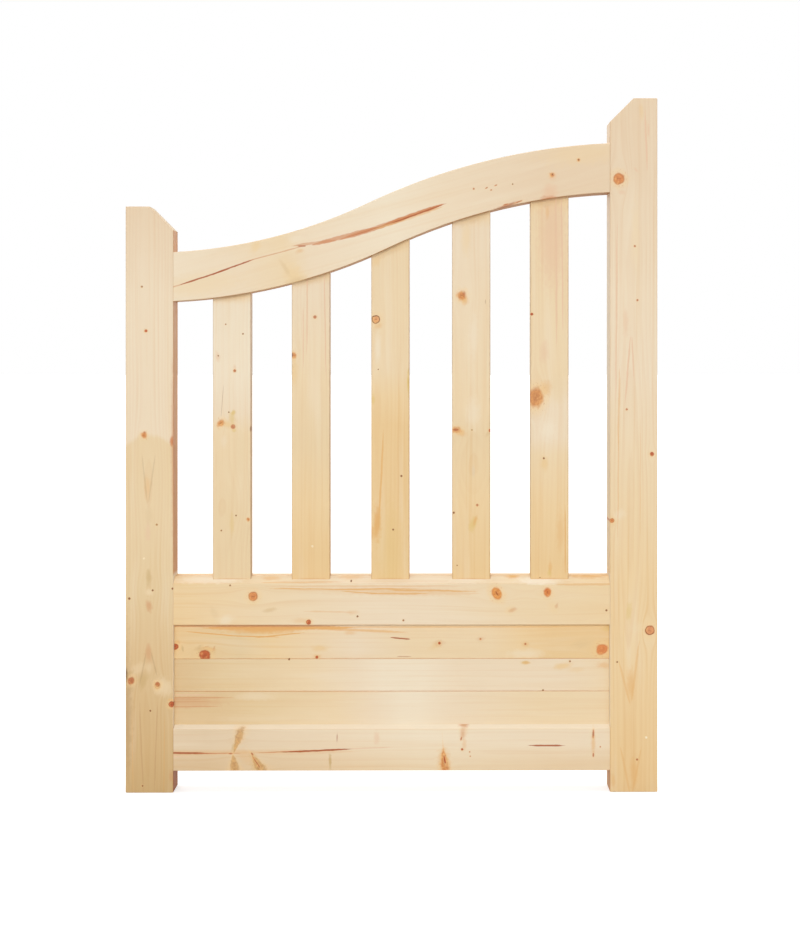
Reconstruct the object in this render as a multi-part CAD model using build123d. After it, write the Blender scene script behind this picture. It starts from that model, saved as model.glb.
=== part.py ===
from build123d import *

import os
from math import asin, atan, cos, sin

# A swan-neck garden gate leaf. X runs from the latch side to the hanging side, Y from front to back
# and Z up. Sizes are in millimetres. The origin is on the ground, under the middle of the gate.

# Stiles
GATE_WIDTH = 915.0
FRAME_THICKNESS = 45.0
STILE_WIDTH = 82.0
LATCH_STILE_HEIGHT = 1008.0
HANGING_STILE_HEIGHT = 1195.0
STILE_TOP_CHAMFER = 41.0
ARRIS_RADIUS = 1.5

# Straight rails, each placed by its underside
RAIL_DEPTH = 82.0
BOTTOM_RAIL_HEIGHT = 37.5
MIDDLE_RAIL_HEIGHT = 288.0
BEVEL_RUN = 17.0
BEVEL_RISE = 10.5

# Curved top rail. Its centreline runs level inside each stile, a set way below the stile's top,
# and turns from hollow to round a little to the latch side of the middle.
TOP_RAIL_DEPTH = 85.0
LATCH_HEAD = 122.0
HANGING_HEAD = 119.0
LEVEL_INSET = 35.5
TURN_OFFSET = 23.0

# Through tenons, each held by a pair of wedges. Both stay a margin clear of the grooves for the boards.
TENON_THICKNESS = 15.0
TENON_MARGIN = 3.0
WEDGE_MARGIN = 12.0
WEDGE_HEAD = 6.0
WEDGE_TIP = 1.0

# Slats, housed in the top and middle rails, each shifted a little from an even pitch
SLAT_WIDTH = 66.0
SLAT_THICKNESS = 21.0
SLAT_RECESS = 9.5
FIRST_SLAT_GAP = 67.5
SLAT_SHIFTS = (-1.0, -1.5, -1.0, 2.0, 0.5)
SLAT_HOUSING = 16.0
HOUSING_CLEARANCE = 0.5

# Tongue and groove boards, housed in the stiles, the middle rail and the bottom rail
BOARD_NAMES = ("bottom", "middle", "top")
BOARD_THICKNESS = 20.0
BOARD_RECESS = 9.5
BOARD_DROP = 4.0
BOARD_ARRIS = 0.6
GROOVE_DEPTH = 10.0
MOVEMENT_GAP = 0.8
TONGUE_THICKNESS = 6.0
TONGUE_LENGTH = 6.0
TONGUE_CLEARANCE = 0.5

# Brads, driven through the back of a rail into the slat
BRAD_RADIUS = 0.9
BRAD_HEAD_RADIUS = 1.6
BRAD_HEAD_DEPTH = 1.5
BRAD_BITE = 12.0
BRAD_CLEARANCE = 0.05

half_width = GATE_WIDTH / 2
half_thickness = FRAME_THICKNESS / 2
half_depth = TOP_RAIL_DEPTH / 2
shoulder = half_width - STILE_WIDTH

# The swan neck is two tangent arcs that meet at its steepest slope.
low_level = LATCH_STILE_HEIGHT - LATCH_HEAD
high_level = HANGING_STILE_HEIGHT - HANGING_HEAD
level_reach = half_width - LEVEL_INSET
neck_slope = 2 * atan((high_level - low_level) / (2 * level_reach))
low_radius = (level_reach - TURN_OFFSET) / sin(neck_slope)
high_radius = (level_reach + TURN_OFFSET) / sin(neck_slope)

tenon_shoulder = GROOVE_DEPTH + TENON_MARGIN
middle_rail_top = MIDDLE_RAIL_HEIGHT + RAIL_DEPTH
bottom_rail_top = BOTTOM_RAIL_HEIGHT + RAIL_DEPTH

slat_pitch = (2 * shoulder - FIRST_SLAT_GAP) / len(SLAT_SHIFTS)
first_slat = -shoulder + FIRST_SLAT_GAP + SLAT_WIDTH / 2
slat_centres = [first_slat + index * slat_pitch + shift for index, shift in enumerate(SLAT_SHIFTS)]
slat_foot = middle_rail_top - SLAT_HOUSING
slat_middle = SLAT_RECESS + SLAT_THICKNESS / 2 - half_thickness

board_middle = BOARD_RECESS + BOARD_THICKNESS / 2 - half_thickness
panel_foot = bottom_rail_top - GROOVE_DEPTH
panel_head = MIDDLE_RAIL_HEIGHT + GROOVE_DEPTH


def block(x_span, y_span, z_span):
    """A box between the given pairs of limits."""
    limits = (x_span, y_span, z_span)
    sizes = [high - low for low, high in limits]
    return Pos(*[(low + high) / 2 for low, high in limits]) * Box(*sizes)


def centred(width, middle=0.0):
    """The pair of limits of a width about its middle."""
    return (middle - width / 2, middle + width / 2)


def plate(outline, thickness):
    """A closed outline in the gate's front plane, made solid by a thickness about that plane."""
    return extrude(make_face(outline), amount=thickness / 2, dir=(0, 1, 0), both=True)


def low_arc_point(offset, slope):
    """Where the latch-side arc, raised by an offset from the centreline, has a given slope."""
    radius = low_radius - offset
    return Vector(radius * sin(slope) - level_reach, 0, low_level + low_radius - radius * cos(slope))


def high_arc_point(offset, slope):
    """Where the hanging-side arc, raised by an offset from the centreline, has a given slope."""
    radius = high_radius + offset
    return Vector(level_reach - radius * sin(slope), 0, high_level - high_radius + radius * cos(slope))


def neck_arcs(offset):
    """The swan neck from stile to stile, raised by an offset from its centreline."""
    first = asin((level_reach - shoulder) / (low_radius - offset))
    last = asin((level_reach - shoulder) / (high_radius + offset))
    low_slopes = (first, (first + neck_slope) / 2, neck_slope)
    high_slopes = (neck_slope, (neck_slope + last) / 2, last)
    low_arc = ThreePointArc(*[low_arc_point(offset, slope) for slope in low_slopes])
    high_arc = ThreePointArc(*[high_arc_point(offset, slope) for slope in high_slopes])
    return low_arc, high_arc


def neck_height(x, offset):
    """The height of the swan neck at x, raised by an offset from its centreline."""
    if x < low_arc_point(offset, neck_slope).X:
        slope = asin((x + level_reach) / (low_radius - offset))
        return low_arc_point(offset, slope).Z
    slope = asin((level_reach - x) / (high_radius + offset))
    return high_arc_point(offset, slope).Z


def below_neck(offset):
    """The space between the stiles below the swan neck, raised by an offset from its centreline."""
    low_arc, high_arc = neck_arcs(offset)
    sides = Polyline(high_arc @ 1, (shoulder, 0, 0), (-shoulder, 0, 0), low_arc @ 0)
    return plate([low_arc, high_arc, sides], FRAME_THICKNESS)


def tenon(side, middle, rail_depth):
    """A tenon from inside the rail to the outer edge of the stile on one side, -1 or 1."""
    root = side * (shoulder - tenon_shoulder)
    x_span = sorted((root, side * half_width))
    return block(x_span, centred(TENON_THICKNESS), centred(rail_depth - 2 * tenon_shoulder, middle))


def wedge_pair(side, middle, rail_depth):
    """The wedges above and below a tenon, driven in from the outer edge of the stile."""
    outer = side * half_width
    tip = side * (shoulder + GROOVE_DEPTH + WEDGE_MARGIN)
    pair = []
    for up in (-1, 1):
        face = middle + up * (rail_depth / 2 - tenon_shoulder)
        corners = ((outer, face), (outer, face + up * WEDGE_HEAD), (tip, face + up * WEDGE_TIP), (tip, face))
        outline = Polyline(*[(x, 0, z) for x, z in corners], close=True)
        pair.append(plate(outline, TENON_THICKNESS))
    return pair


def stile(side, height, joints):
    """A stile with its top inner corner cut off, mortised for the tenons and grooved for the boards."""
    inner = side * shoulder
    outer = side * half_width
    slope_top = inner + side * STILE_TOP_CHAMFER
    slope_foot = height - STILE_TOP_CHAMFER
    corners = ((inner, 0), (outer, 0), (outer, height), (slope_top, height), (inner, slope_foot))
    outline = Polyline(*[(x, 0, z) for x, z in corners], close=True)
    body = plate(outline, FRAME_THICKNESS)
    body = fillet(body.edges(), ARRIS_RADIUS)
    for middle, rail_depth in joints:
        body -= tenon(side, middle, rail_depth)
        for wedge in wedge_pair(side, middle, rail_depth):
            body -= wedge
    groove_x = sorted((inner, inner + side * GROOVE_DEPTH))
    body -= block(groove_x, centred(BOARD_THICKNESS, board_middle), (panel_foot, panel_head))
    return body


def straight_rail(underside):
    """A straight rail with its bevelled top front edge, eased arrises and two tenons."""
    top = underside + RAIL_DEPTH
    front = -half_thickness
    corners = (
        (front, underside),
        (half_thickness, underside),
        (half_thickness, top),
        (front + BEVEL_RUN, top),
        (front, top - BEVEL_RISE),
    )
    outline = Polyline(*[(-shoulder, y, z) for y, z in corners], close=True)
    body = extrude(make_face(outline), amount=2 * shoulder, dir=(1, 0, 0))
    body = fillet(body.edges().filter_by(Axis.X), ARRIS_RADIUS)
    middle = underside + RAIL_DEPTH / 2
    for side in (-1, 1):
        body += tenon(side, middle, RAIL_DEPTH)
    return body


def panel_groove(z_span):
    """The groove for the boards along a rail, from stile to stile."""
    return block((-shoulder, shoulder), centred(BOARD_THICKNESS, board_middle), z_span)


def curved_rail():
    """The swan-neck rail with eased arrises and two tenons."""
    upper = neck_arcs(half_depth)
    lower = neck_arcs(-half_depth)
    ends = (Line(upper[0] @ 0, lower[0] @ 0), Line(upper[1] @ 1, lower[1] @ 1))
    body = plate([*upper, *lower, *ends], FRAME_THICKNESS)
    body = fillet(body.edges().filter_by(GeomType.CIRCLE), ARRIS_RADIUS)
    for side in (-1, 1):
        body += tenon(side, neck_height(side * shoulder, 0), TOP_RAIL_DEPTH)
    return body


def slat_stock(centre, foot, head_offset):
    """A slat with eased arrises from its foot up to the swan neck, at an offset from the neck's centreline."""
    height = max(low_level, high_level) - foot
    body = block(centred(SLAT_WIDTH, centre), centred(SLAT_THICKNESS, slat_middle), (foot, foot + height))
    body = fillet(body.edges().filter_by(Axis.Z), ARRIS_RADIUS)
    return body & below_neck(head_offset)


def board(index):
    """A board of the panel, tongued along its top and grooved along its foot where it meets another."""
    cover = (MIDDLE_RAIL_HEIGHT - bottom_rail_top) / len(BOARD_NAMES)
    lowest = index == 0
    highest = index == len(BOARD_NAMES) - 1
    foot = panel_foot if lowest else bottom_rail_top + index * cover - BOARD_DROP
    head = panel_head - MOVEMENT_GAP if highest else bottom_rail_top + (index + 1) * cover - BOARD_DROP
    x_span = centred(2 * (shoulder + GROOVE_DEPTH - MOVEMENT_GAP))
    tongue_y = centred(TONGUE_THICKNESS, board_middle)
    body = block(x_span, centred(BOARD_THICKNESS, board_middle), (foot, head))
    body = chamfer(body.edges().filter_by(Axis.X), BOARD_ARRIS)
    if not highest:
        body += block(x_span, tongue_y, (head, head + TONGUE_LENGTH))
    if not lowest:
        body -= block(x_span, tongue_y, (foot, foot + TONGUE_LENGTH + TONGUE_CLEARANCE))
    return body


def brad(x, z, clearance=0.0):
    """A brad from the back of a rail into a slat, or its hole where a clearance is given."""
    back = half_thickness
    tip = slat_middle + SLAT_THICKNESS / 2 - BRAD_BITE
    shank = Cylinder(BRAD_RADIUS + clearance, back - tip)
    head = Cylinder(BRAD_HEAD_RADIUS + clearance, BRAD_HEAD_DEPTH)
    nail = Pos(0, (back + tip) / 2, 0) * Rot(90, 0, 0) * shank
    nail += Pos(0, back - BRAD_HEAD_DEPTH / 2, 0) * Rot(90, 0, 0) * head
    return Pos(x, 0, z) * nail


# Where each rail's tenons are, by the name of the rail
rail_joints = {
    "bottom": {side: (BOTTOM_RAIL_HEIGHT + RAIL_DEPTH / 2, RAIL_DEPTH) for side in (-1, 1)},
    "middle": {side: (MIDDLE_RAIL_HEIGHT + RAIL_DEPTH / 2, RAIL_DEPTH) for side in (-1, 1)},
    "top": {side: (neck_height(side * shoulder, 0), TOP_RAIL_DEPTH) for side in (-1, 1)},
}

# The timbers of the frame
latch_stile = stile(-1, LATCH_STILE_HEIGHT, [joint[-1] for joint in rail_joints.values()])
hanging_stile = stile(1, HANGING_STILE_HEIGHT, [joint[1] for joint in rail_joints.values()])
top_rail = curved_rail()
middle_rail = straight_rail(MIDDLE_RAIL_HEIGHT) - panel_groove((MIDDLE_RAIL_HEIGHT, panel_head))
bottom_rail = straight_rail(BOTTOM_RAIL_HEIGHT) - panel_groove((panel_foot, bottom_rail_top))

# The slats, with their housings in the rails and the brads that hold them
slats = []
top_brads = []
middle_brads = []
for centre in slat_centres:
    slat = slat_stock(centre, slat_foot, SLAT_HOUSING - half_depth)
    housing = slat_stock(centre, slat_foot - HOUSING_CLEARANCE, SLAT_HOUSING + HOUSING_CLEARANCE - half_depth)
    top_brad_height = neck_height(centre, SLAT_HOUSING / 2 - half_depth)
    middle_brad_height = middle_rail_top - SLAT_HOUSING / 2
    top_rail -= housing
    top_rail -= brad(centre, top_brad_height, BRAD_CLEARANCE)
    middle_rail -= housing
    middle_rail -= brad(centre, middle_brad_height, BRAD_CLEARANCE)
    slat -= brad(centre, top_brad_height, BRAD_CLEARANCE)
    slat -= brad(centre, middle_brad_height, BRAD_CLEARANCE)
    slats.append(slat)
    top_brads.append(brad(centre, top_brad_height))
    middle_brads.append(brad(centre, middle_brad_height))

nodes = {
    "latch_stile": latch_stile,
    "hanging_stile": hanging_stile,
    "top_rail": top_rail,
    "middle_rail": middle_rail,
    "bottom_rail": bottom_rail,
    "slat_brads_top": Compound(top_brads),
    "slat_brads_middle": Compound(middle_brads),
}
for number, slat in enumerate(slats, start=1):
    nodes[f"slat_{number}"] = slat
for index, name in enumerate(BOARD_NAMES):
    nodes[f"panel_board_{name}"] = board(index)
for rail_name, joints in rail_joints.items():
    for side_name, side in (("latch", -1), ("hanging", 1)):
        nodes[f"wedges_{rail_name}_{side_name}"] = Compound(wedge_pair(side, *joints[side]))

os.makedirs("parts", exist_ok=True)
for name, solid in nodes.items():
    export_step(solid, f"parts/{name}.step")
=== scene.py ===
"""Dresses the swan-neck garden gate as bare planed softwood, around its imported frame."""

import logging
import math
from dataclasses import dataclass, replace
from enum import Enum
from typing import Union

import bpy
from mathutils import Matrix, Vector

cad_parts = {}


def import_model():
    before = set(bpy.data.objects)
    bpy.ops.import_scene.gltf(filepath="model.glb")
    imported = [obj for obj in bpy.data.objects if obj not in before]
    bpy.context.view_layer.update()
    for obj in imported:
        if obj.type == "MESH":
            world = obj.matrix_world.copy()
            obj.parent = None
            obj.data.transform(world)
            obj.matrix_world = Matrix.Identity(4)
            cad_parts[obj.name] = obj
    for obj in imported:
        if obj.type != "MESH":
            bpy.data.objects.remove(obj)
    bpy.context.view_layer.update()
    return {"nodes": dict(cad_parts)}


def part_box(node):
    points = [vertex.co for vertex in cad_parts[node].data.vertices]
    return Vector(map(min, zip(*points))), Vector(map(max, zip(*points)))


LOG = logging.getLogger("gate")
MM = 0.001
Colour = tuple[float, float, float]
# A noise runs from 0 to 1, and is brought to -0.5 to 0.5. Twice that swings from -1 to 1.
NOISE_MIDDLE = 0.5
FULL_SWING = 2.0
# How much of a noise's shift goes along each axis.
SHIFT_SHARES = (1.0, 0.7, 0.4)


def srgb(red: int, green: int, blue: int) -> Colour:
    """Turns a colour on the usual 0 to 255 scale into linear light.

    Args:
        red: Red, 0 to 255.
        green: Green, 0 to 255.
        blue: Blue, 0 to 255.

    Returns:
        The colour in linear light.
    """
    shares = (channel / 255 for channel in (red, green, blue))
    return tuple(s / 12.92 if s <= 0.04045 else ((s + 0.055) / 1.055) ** 2.4 for s in shares)


class Blend(Enum):
    """How one colour is laid over another, with the Mix node's own names."""

    COVER = "MIX"
    STAIN = "MULTIPLY"


class Signal:
    """A number or a colour that a node gives out. Arithmetic on a number adds nodes to the same tree."""

    def __init__(self, tree: bpy.types.NodeTree, socket: bpy.types.NodeSocket) -> None:
        """Keeps the tree and the output socket."""
        self.tree = tree
        self.socket = socket

    def math(self, operation: str, *others: "Value") -> "Signal":
        """Runs one operation of the Math node on this number.

        Args:
            operation: The Math node's own name for it.
            others: The second number, where it takes one.

        Returns:
            The result.
        """
        return math_node(self.tree, operation, self, *others)

    def __add__(self, other: "Value") -> "Signal":
        """Adds a number."""
        return self.math("ADD", other)

    def __sub__(self, other: "Value") -> "Signal":
        """Takes a number away."""
        return self.math("SUBTRACT", other)

    def __rsub__(self, other: float) -> "Signal":
        """Takes this number away from a plain one."""
        return math_node(self.tree, "SUBTRACT", other, self)

    def __mul__(self, other: "Value") -> "Signal":
        """Multiplies by a number."""
        return self.math("MULTIPLY", other)

    def __truediv__(self, other: "Value") -> "Signal":
        """Divides by a number."""
        return self.math("DIVIDE", other)

    __radd__ = __add__

    def step(self, low: "Value", high: "Value") -> "Signal":
        """Moves smoothly from 0 at low to 1 at high, whichever of the two is the lesser.

        Args:
            low: Where the result is 0.
            high: Where the result is 1.

        Returns:
            A number from 0 to 1.
        """
        node = self.tree.nodes.new("ShaderNodeMapRange")
        node.interpolation_type = "SMOOTHSTEP"
        for name, number in (("Value", self), ("From Min", low), ("From Max", high)):
            plug(node.inputs[name], number)
        return Signal(self.tree, node.outputs["Result"])

    def over(self, share: "Value", above: "Value", blend: Blend = Blend.COVER) -> "Signal":
        """Lays another colour over this one.

        Args:
            share: How much of the other one shows, 0 to 1.
            above: The other colour.
            blend: How it is laid.

        Returns:
            The mixed colour.
        """
        return mix_node(self.tree, share, self, above, blend)

    def between(self, low: Colour, high: Colour) -> "Signal":
        """Gives the first colour where this number is 0 and the second where it is 1."""
        return mix_node(self.tree, self, low, high)


Value = Union[float, Colour, Signal]


def plug(socket: bpy.types.NodeSocket, value: Value) -> None:
    """Links a signal to an input socket, or sets a plain number or colour on it.

    Args:
        socket: The input socket.
        value: The signal, number or colour.
    """
    if isinstance(value, Signal):
        value.tree.links.new(value.socket, socket)
    elif isinstance(value, tuple):
        socket.default_value = (*value, 1.0)
    else:
        socket.default_value = value


def math_node(tree: bpy.types.NodeTree, operation: str, *numbers: Value) -> Signal:
    """Adds a Math node.

    Args:
        tree: The tree to add it to.
        operation: The node's own name for what it does.
        numbers: Its inputs in order.

    Returns:
        The node's result.
    """
    node = tree.nodes.new("ShaderNodeMath")
    node.operation = operation
    for socket, number in zip(node.inputs, numbers):
        plug(socket, number)
    return Signal(tree, node.outputs[0])


def mix_node(tree: bpy.types.NodeTree, share: Value, below: Value, above: Value,
             blend: Blend = Blend.COVER) -> Signal:
    """Adds a Mix node for two colours.

    Args:
        tree: The tree to add it to.
        share: How much of the upper colour shows, 0 to 1.
        below: The lower colour.
        above: The upper colour.
        blend: How the upper colour is laid.

    Returns:
        The mixed colour.
    """
    node = tree.nodes.new("ShaderNodeMix")
    node.data_type = "RGBA"
    node.blend_type = blend.value
    sockets = {socket.identifier: socket for socket in node.inputs}
    for name, value in (("Factor_Float", share), ("A_Color", below), ("B_Color", above)):
        plug(sockets[name], value)
    return Signal(tree, next(s for s in node.outputs if s.identifier == "Result_Color"))


def noise_node(tree: bpy.types.NodeTree, place: bpy.types.NodeSocket, scale: tuple[float, float, float],
               shift: float, detail: float) -> Signal:
    """Adds a noise pattern.

    Args:
        tree: The tree to add it to.
        place: Where on the piece the pattern is read.
        scale: How many of its features there are to one unit of the place, along each axis.
        shift: Moves the pattern, so that no two are alike.
        detail: How many finer layers it has.

    Returns:
        A number from about -0.5 to 0.5.
    """
    spread = tree.nodes.new("ShaderNodeVectorMath")
    spread.operation = "MULTIPLY_ADD"
    tree.links.new(place, spread.inputs[0])
    spread.inputs[1].default_value = scale
    spread.inputs[2].default_value = [shift * share for share in SHIFT_SHARES]
    node = tree.nodes.new("ShaderNodeTexNoise")
    node.inputs["Scale"].default_value = 1.0
    node.inputs["Detail"].default_value = detail
    tree.links.new(spread.outputs[0], node.inputs["Vector"])
    return Signal(tree, node.outputs["Fac"]) - NOISE_MIDDLE


def new_material(name: str) -> tuple[bpy.types.Material, bpy.types.Node]:
    """Makes a material.

    Args:
        name: Its name.

    Returns:
        The material and its Principled shader.
    """
    material = bpy.data.materials.new(name)
    material.use_nodes = True
    return material, next(n for n in material.node_tree.nodes if n.type == "BSDF_PRINCIPLED")


def roughen(shader: bpy.types.Node, height: Signal, strength: float, distance: float) -> None:
    """Gives a shader a fine relief.

    Args:
        shader: The Principled shader.
        height: The relief, from about 0 to 1.
        strength: How much of it shows.
        distance: Its depth, in millimetres.
    """
    bump = height.tree.nodes.new("ShaderNodeBump")
    bump.inputs["Strength"].default_value = strength
    bump.inputs["Distance"].default_value = distance * MM
    plug(bump.inputs["Height"], height)
    height.tree.links.new(bump.outputs[0], shader.inputs["Normal"])


def camera_sees(tree: bpy.types.NodeTree) -> Signal:
    """Tells what the camera sees, straight or mirrored or through glass, from what only gets light.

    Args:
        tree: The tree to add the nodes to.

    Returns:
        1 for the camera's rays and 0 for the others.
    """
    path = tree.nodes.new("ShaderNodeLightPath")
    seen = Signal(tree, path.outputs["Is Camera Ray"])
    for name in ("Is Glossy Ray", "Is Transmission Ray"):
        seen = seen.math("MAXIMUM", Signal(tree, path.outputs[name]))
    return seen


class NodeGroup:
    """A node group that is made once and used by many materials."""

    def __init__(self, name: str, numbers: tuple[str, ...], colours: tuple[str, ...],
                 results: dict[str, str]) -> None:
        """Makes the group with its inputs and outputs.

        Args:
            name: The group's name.
            numbers: The names of its number inputs.
            colours: The names of its colour inputs.
            results: The names of its outputs with their socket types.
        """
        self.tree = bpy.data.node_groups.new(name, "ShaderNodeTree")
        for kind, labels in (("NodeSocketFloat", numbers), ("NodeSocketColor", colours)):
            for label in labels:
                self.tree.interface.new_socket(label, in_out="INPUT", socket_type=kind)
        for label, kind in results.items():
            self.tree.interface.new_socket(label, in_out="OUTPUT", socket_type=kind)
        self.entry = self.tree.nodes.new("NodeGroupInput")
        self.exit = self.tree.nodes.new("NodeGroupOutput")

    def __getitem__(self, label: str) -> Signal:
        """Gives one of the group's inputs as a signal inside it."""
        return Signal(self.tree, self.entry.outputs[label])

    def give(self, label: str, value: Signal) -> None:
        """Sends a signal from inside the group to one of its outputs."""
        plug(self.exit.inputs[label], value)

    def use(self, tree: bpy.types.NodeTree, values: dict[str, Value]) -> bpy.types.Node:
        """Adds the group to a material.

        Args:
            tree: The material's tree.
            values: What goes into each input.

        Returns:
            The node, whose outputs carry the results.
        """
        node = tree.nodes.new("ShaderNodeGroup")
        node.node_tree = self.tree
        for label, value in values.items():
            plug(node.inputs[label], value)
        return node


class Tone(Enum):
    """The shades of the bare wood and of the stains in it, from the palest to the deepest."""

    WHITE = srgb(247, 235, 214)
    IVORY = srgb(240, 225, 199)
    CREAM = srgb(237, 218, 189)
    STRAW = srgb(236, 213, 175)
    OAT = srgb(231, 208, 177)
    WHEAT = srgb(232, 208, 168)
    HONEY = srgb(236, 208, 162)
    AMBER = srgb(233, 201, 150)
    DUN = srgb(226, 204, 172)
    FAWN = srgb(228, 203, 160)
    GOLD = srgb(222, 193, 148)
    DEEP = srgb(208, 176, 126)
    RESIN = srgb(222, 190, 114)
    ROSE = srgb(230, 194, 160)
    ORANGE = srgb(226, 174, 108)
    RUSSET = srgb(206, 136, 90)
    RUST = srgb(172, 90, 52)
    BROWN = srgb(146, 98, 60)
    BARK = srgb(82, 64, 34)


@dataclass(frozen=True)
class KnotLook:
    """The finish of a kind of knot: its colours, and how strongly its parts show, from 0 to 1."""

    body: Colour
    heart: Colour
    rim: Colour
    strength: float = 0.92
    halo: float = 0.4
    blur: float = 0.22
    outline: float = 0.0
    cracks: float = 0.0
    mottle: float = 0.5
    ragged: float = 0.5


class KnotKind(Enum):
    """The kinds of knot, the larger ones first."""

    SOUND = KnotLook(srgb(221, 145, 82), srgb(190, 96, 48), srgb(158, 92, 52), outline=0.45, cracks=0.4)
    GLOWING = KnotLook(srgb(226, 150, 70), srgb(192, 88, 38), srgb(198, 110, 48), 0.92, 0.5, 0.22, 0.3, 0.6)
    EVEN = KnotLook(srgb(221, 136, 76), srgb(204, 108, 56), srgb(188, 108, 66), 0.92, 0.5, 0.22, 0.3, 0, 0.4)
    CLOUDED = KnotLook(srgb(214, 144, 82), srgb(176, 98, 52), srgb(176, 98, 52), 0.9, 0.5, 0.3, 0, 0.1, 0.45)
    EMBER = KnotLook(srgb(215, 126, 54), srgb(196, 82, 26), srgb(196, 108, 46), 0.92, 0.35, 0.25, 0.2, 0.3)
    DULL = KnotLook(srgb(192, 114, 68), srgb(162, 84, 48), srgb(148, 84, 52), 0.9, 0.4, 0.3, 0.2, 0.1, 0.3)
    RINGED = KnotLook(srgb(220, 150, 100), srgb(198, 114, 68), srgb(150, 84, 46), 0.9, 0.3, 0.16, 1, 0.2)
    HOOPED = KnotLook(srgb(230, 170, 114), srgb(206, 128, 78), srgb(96, 48, 24), 0.92, 0.3, 0.14, 1, 0.3)
    RED = KnotLook(srgb(196, 94, 50), srgb(150, 58, 28), srgb(140, 62, 34), 0.94, 0.5, 0.18, 0.4, 0.1, 0.4)
    FLARED = KnotLook(
        srgb(218, 146, 80), srgb(178, 88, 42), srgb(178, 88, 42), 0.9, 0.4, 0.45, 0, 0.3, 0.7, 1,
    )
    BRANCH = KnotLook(
        srgb(213, 168, 106), srgb(178, 116, 62), srgb(150, 92, 48), 0.82, 0.3, 0.42, 0.25, 0, 0.6, 0.8,
    )
    SPECK = KnotLook(srgb(196, 112, 70), srgb(160, 78, 44), srgb(160, 78, 44), 0.8, 0.3, 0.3)
    PIN = KnotLook(srgb(150, 88, 48), srgb(88, 42, 20), srgb(88, 42, 20), 0.9, 0.25, 0.3)
    PALE = KnotLook(srgb(250, 240, 216), srgb(252, 244, 224), srgb(250, 240, 216), 0.7, 0, 0.3)


# The tones and the kinds of knot by their bare names, in the order above.
(WHITE, IVORY, CREAM, STRAW, OAT, WHEAT, HONEY, AMBER, DUN, FAWN,
 GOLD, DEEP, RESIN, ROSE, ORANGE, RUSSET, RUST, BROWN, BARK) = Tone
SOUND, GLOWING, EVEN, CLOUDED, EMBER, DULL, RINGED, HOOPED, RED, FLARED, BRANCH, SPECK, PIN, PALE = KnotKind


@dataclass(frozen=True)
class Knot:
    """A knot through a timber. Its place is in millimetres from the middle of the timber's foot."""

    x: float
    z: float
    radius: float
    kind: KnotKind = SOUND
    # Its length to its width, its turn from level in degrees, and how much it widens along its length.
    stretch: float = 1.0
    turn: float = 0.0
    taper: float = 0.0


@dataclass(frozen=True)
class Patch:
    """A soft oval of another shade on a timber's front, placed and shaped as a knot is."""

    x: float
    z: float
    radius: float
    tone: Tone
    stretch: float = 1.0
    turn: float = 0.0
    strength: float = 0.5
    taper: float = 0.0


@dataclass(frozen=True)
class Streak:
    """A line of pith, resin or dense growth on a timber's front, between two places."""

    start: tuple[float, float]
    end: tuple[float, float]
    half_width: float
    tone: Tone = RUST
    strength: float = 0.9
    sway: float = 1.0
    soft: float = 0.5


@dataclass(frozen=True)
class Crest:
    """A place along the grain where the rings rise towards the face and leave an eye, in millimetres."""

    along: float
    rise: float
    spread: float


def knots_at(kind: KnotKind, radius: float, *places: tuple[float, float]) -> tuple[Knot, ...]:
    """Makes small round knots that are alike.

    Args:
        kind: What kind they are.
        radius: Their radius in millimetres.
        places: Where each one is.

    Returns:
        The knots.
    """
    return tuple(Knot(x, z, radius, kind) for x, z in places)


@dataclass(frozen=True)
class Softwood:
    """The finish of one timber: how it was cut from its tree, its shades along the grain, its marks, and the
    light and shade painted on some of its faces.
    """

    # What sets its noises apart from another timber's, and its shades with their shares of its length.
    seed: float
    tones: tuple[tuple[float, Tone], ...]
    # The pith's place from the middle line and behind the front, and the width of a ring, in millimetres.
    pith_across: float = 0.0
    pith_depth: float = 60.0
    ring: float = 4.0
    # How strongly each part of the figure shows.
    ring_strength: float = 0.3
    vein_strength: float = 0.42
    cloud_strength: float = 0.3
    clear_strength: float = 0.35
    fibre_strength: float = 0.35
    wear_strength: float = 0.4
    # How far the rings wander, and how far the shades bow along the grain, in millimetres.
    wander: float = 5.0
    tone_bow: float = 0.0
    # How strongly the low edge is tinted deeper, how strongly single faces get painted light and shade, and
    # between which heights the panel is beside it.
    low_edge: float = 0.0
    right_side_painted_shade: float = 0.0
    panel_side: tuple[float, float] = (0.0, 0.0)
    panel_side_painted_light: float = 0.0
    horn_painted_shade: float = 0.0
    underside_painted_shade: float = 0.0
    bevel_painted_highlight: float = 0.0
    flat_top_painted_shade: float = 0.0
    # How deep the marks on the front go, and how far in from its edges it is worn, in millimetres.
    mark_depth: float = 11.0
    worn: float = 4.0
    crests: tuple[Crest, ...] = ()
    knots: tuple[Knot, ...] = ()
    patches: tuple[Patch, ...] = ()
    streaks: tuple[Streak, ...] = ()


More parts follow.
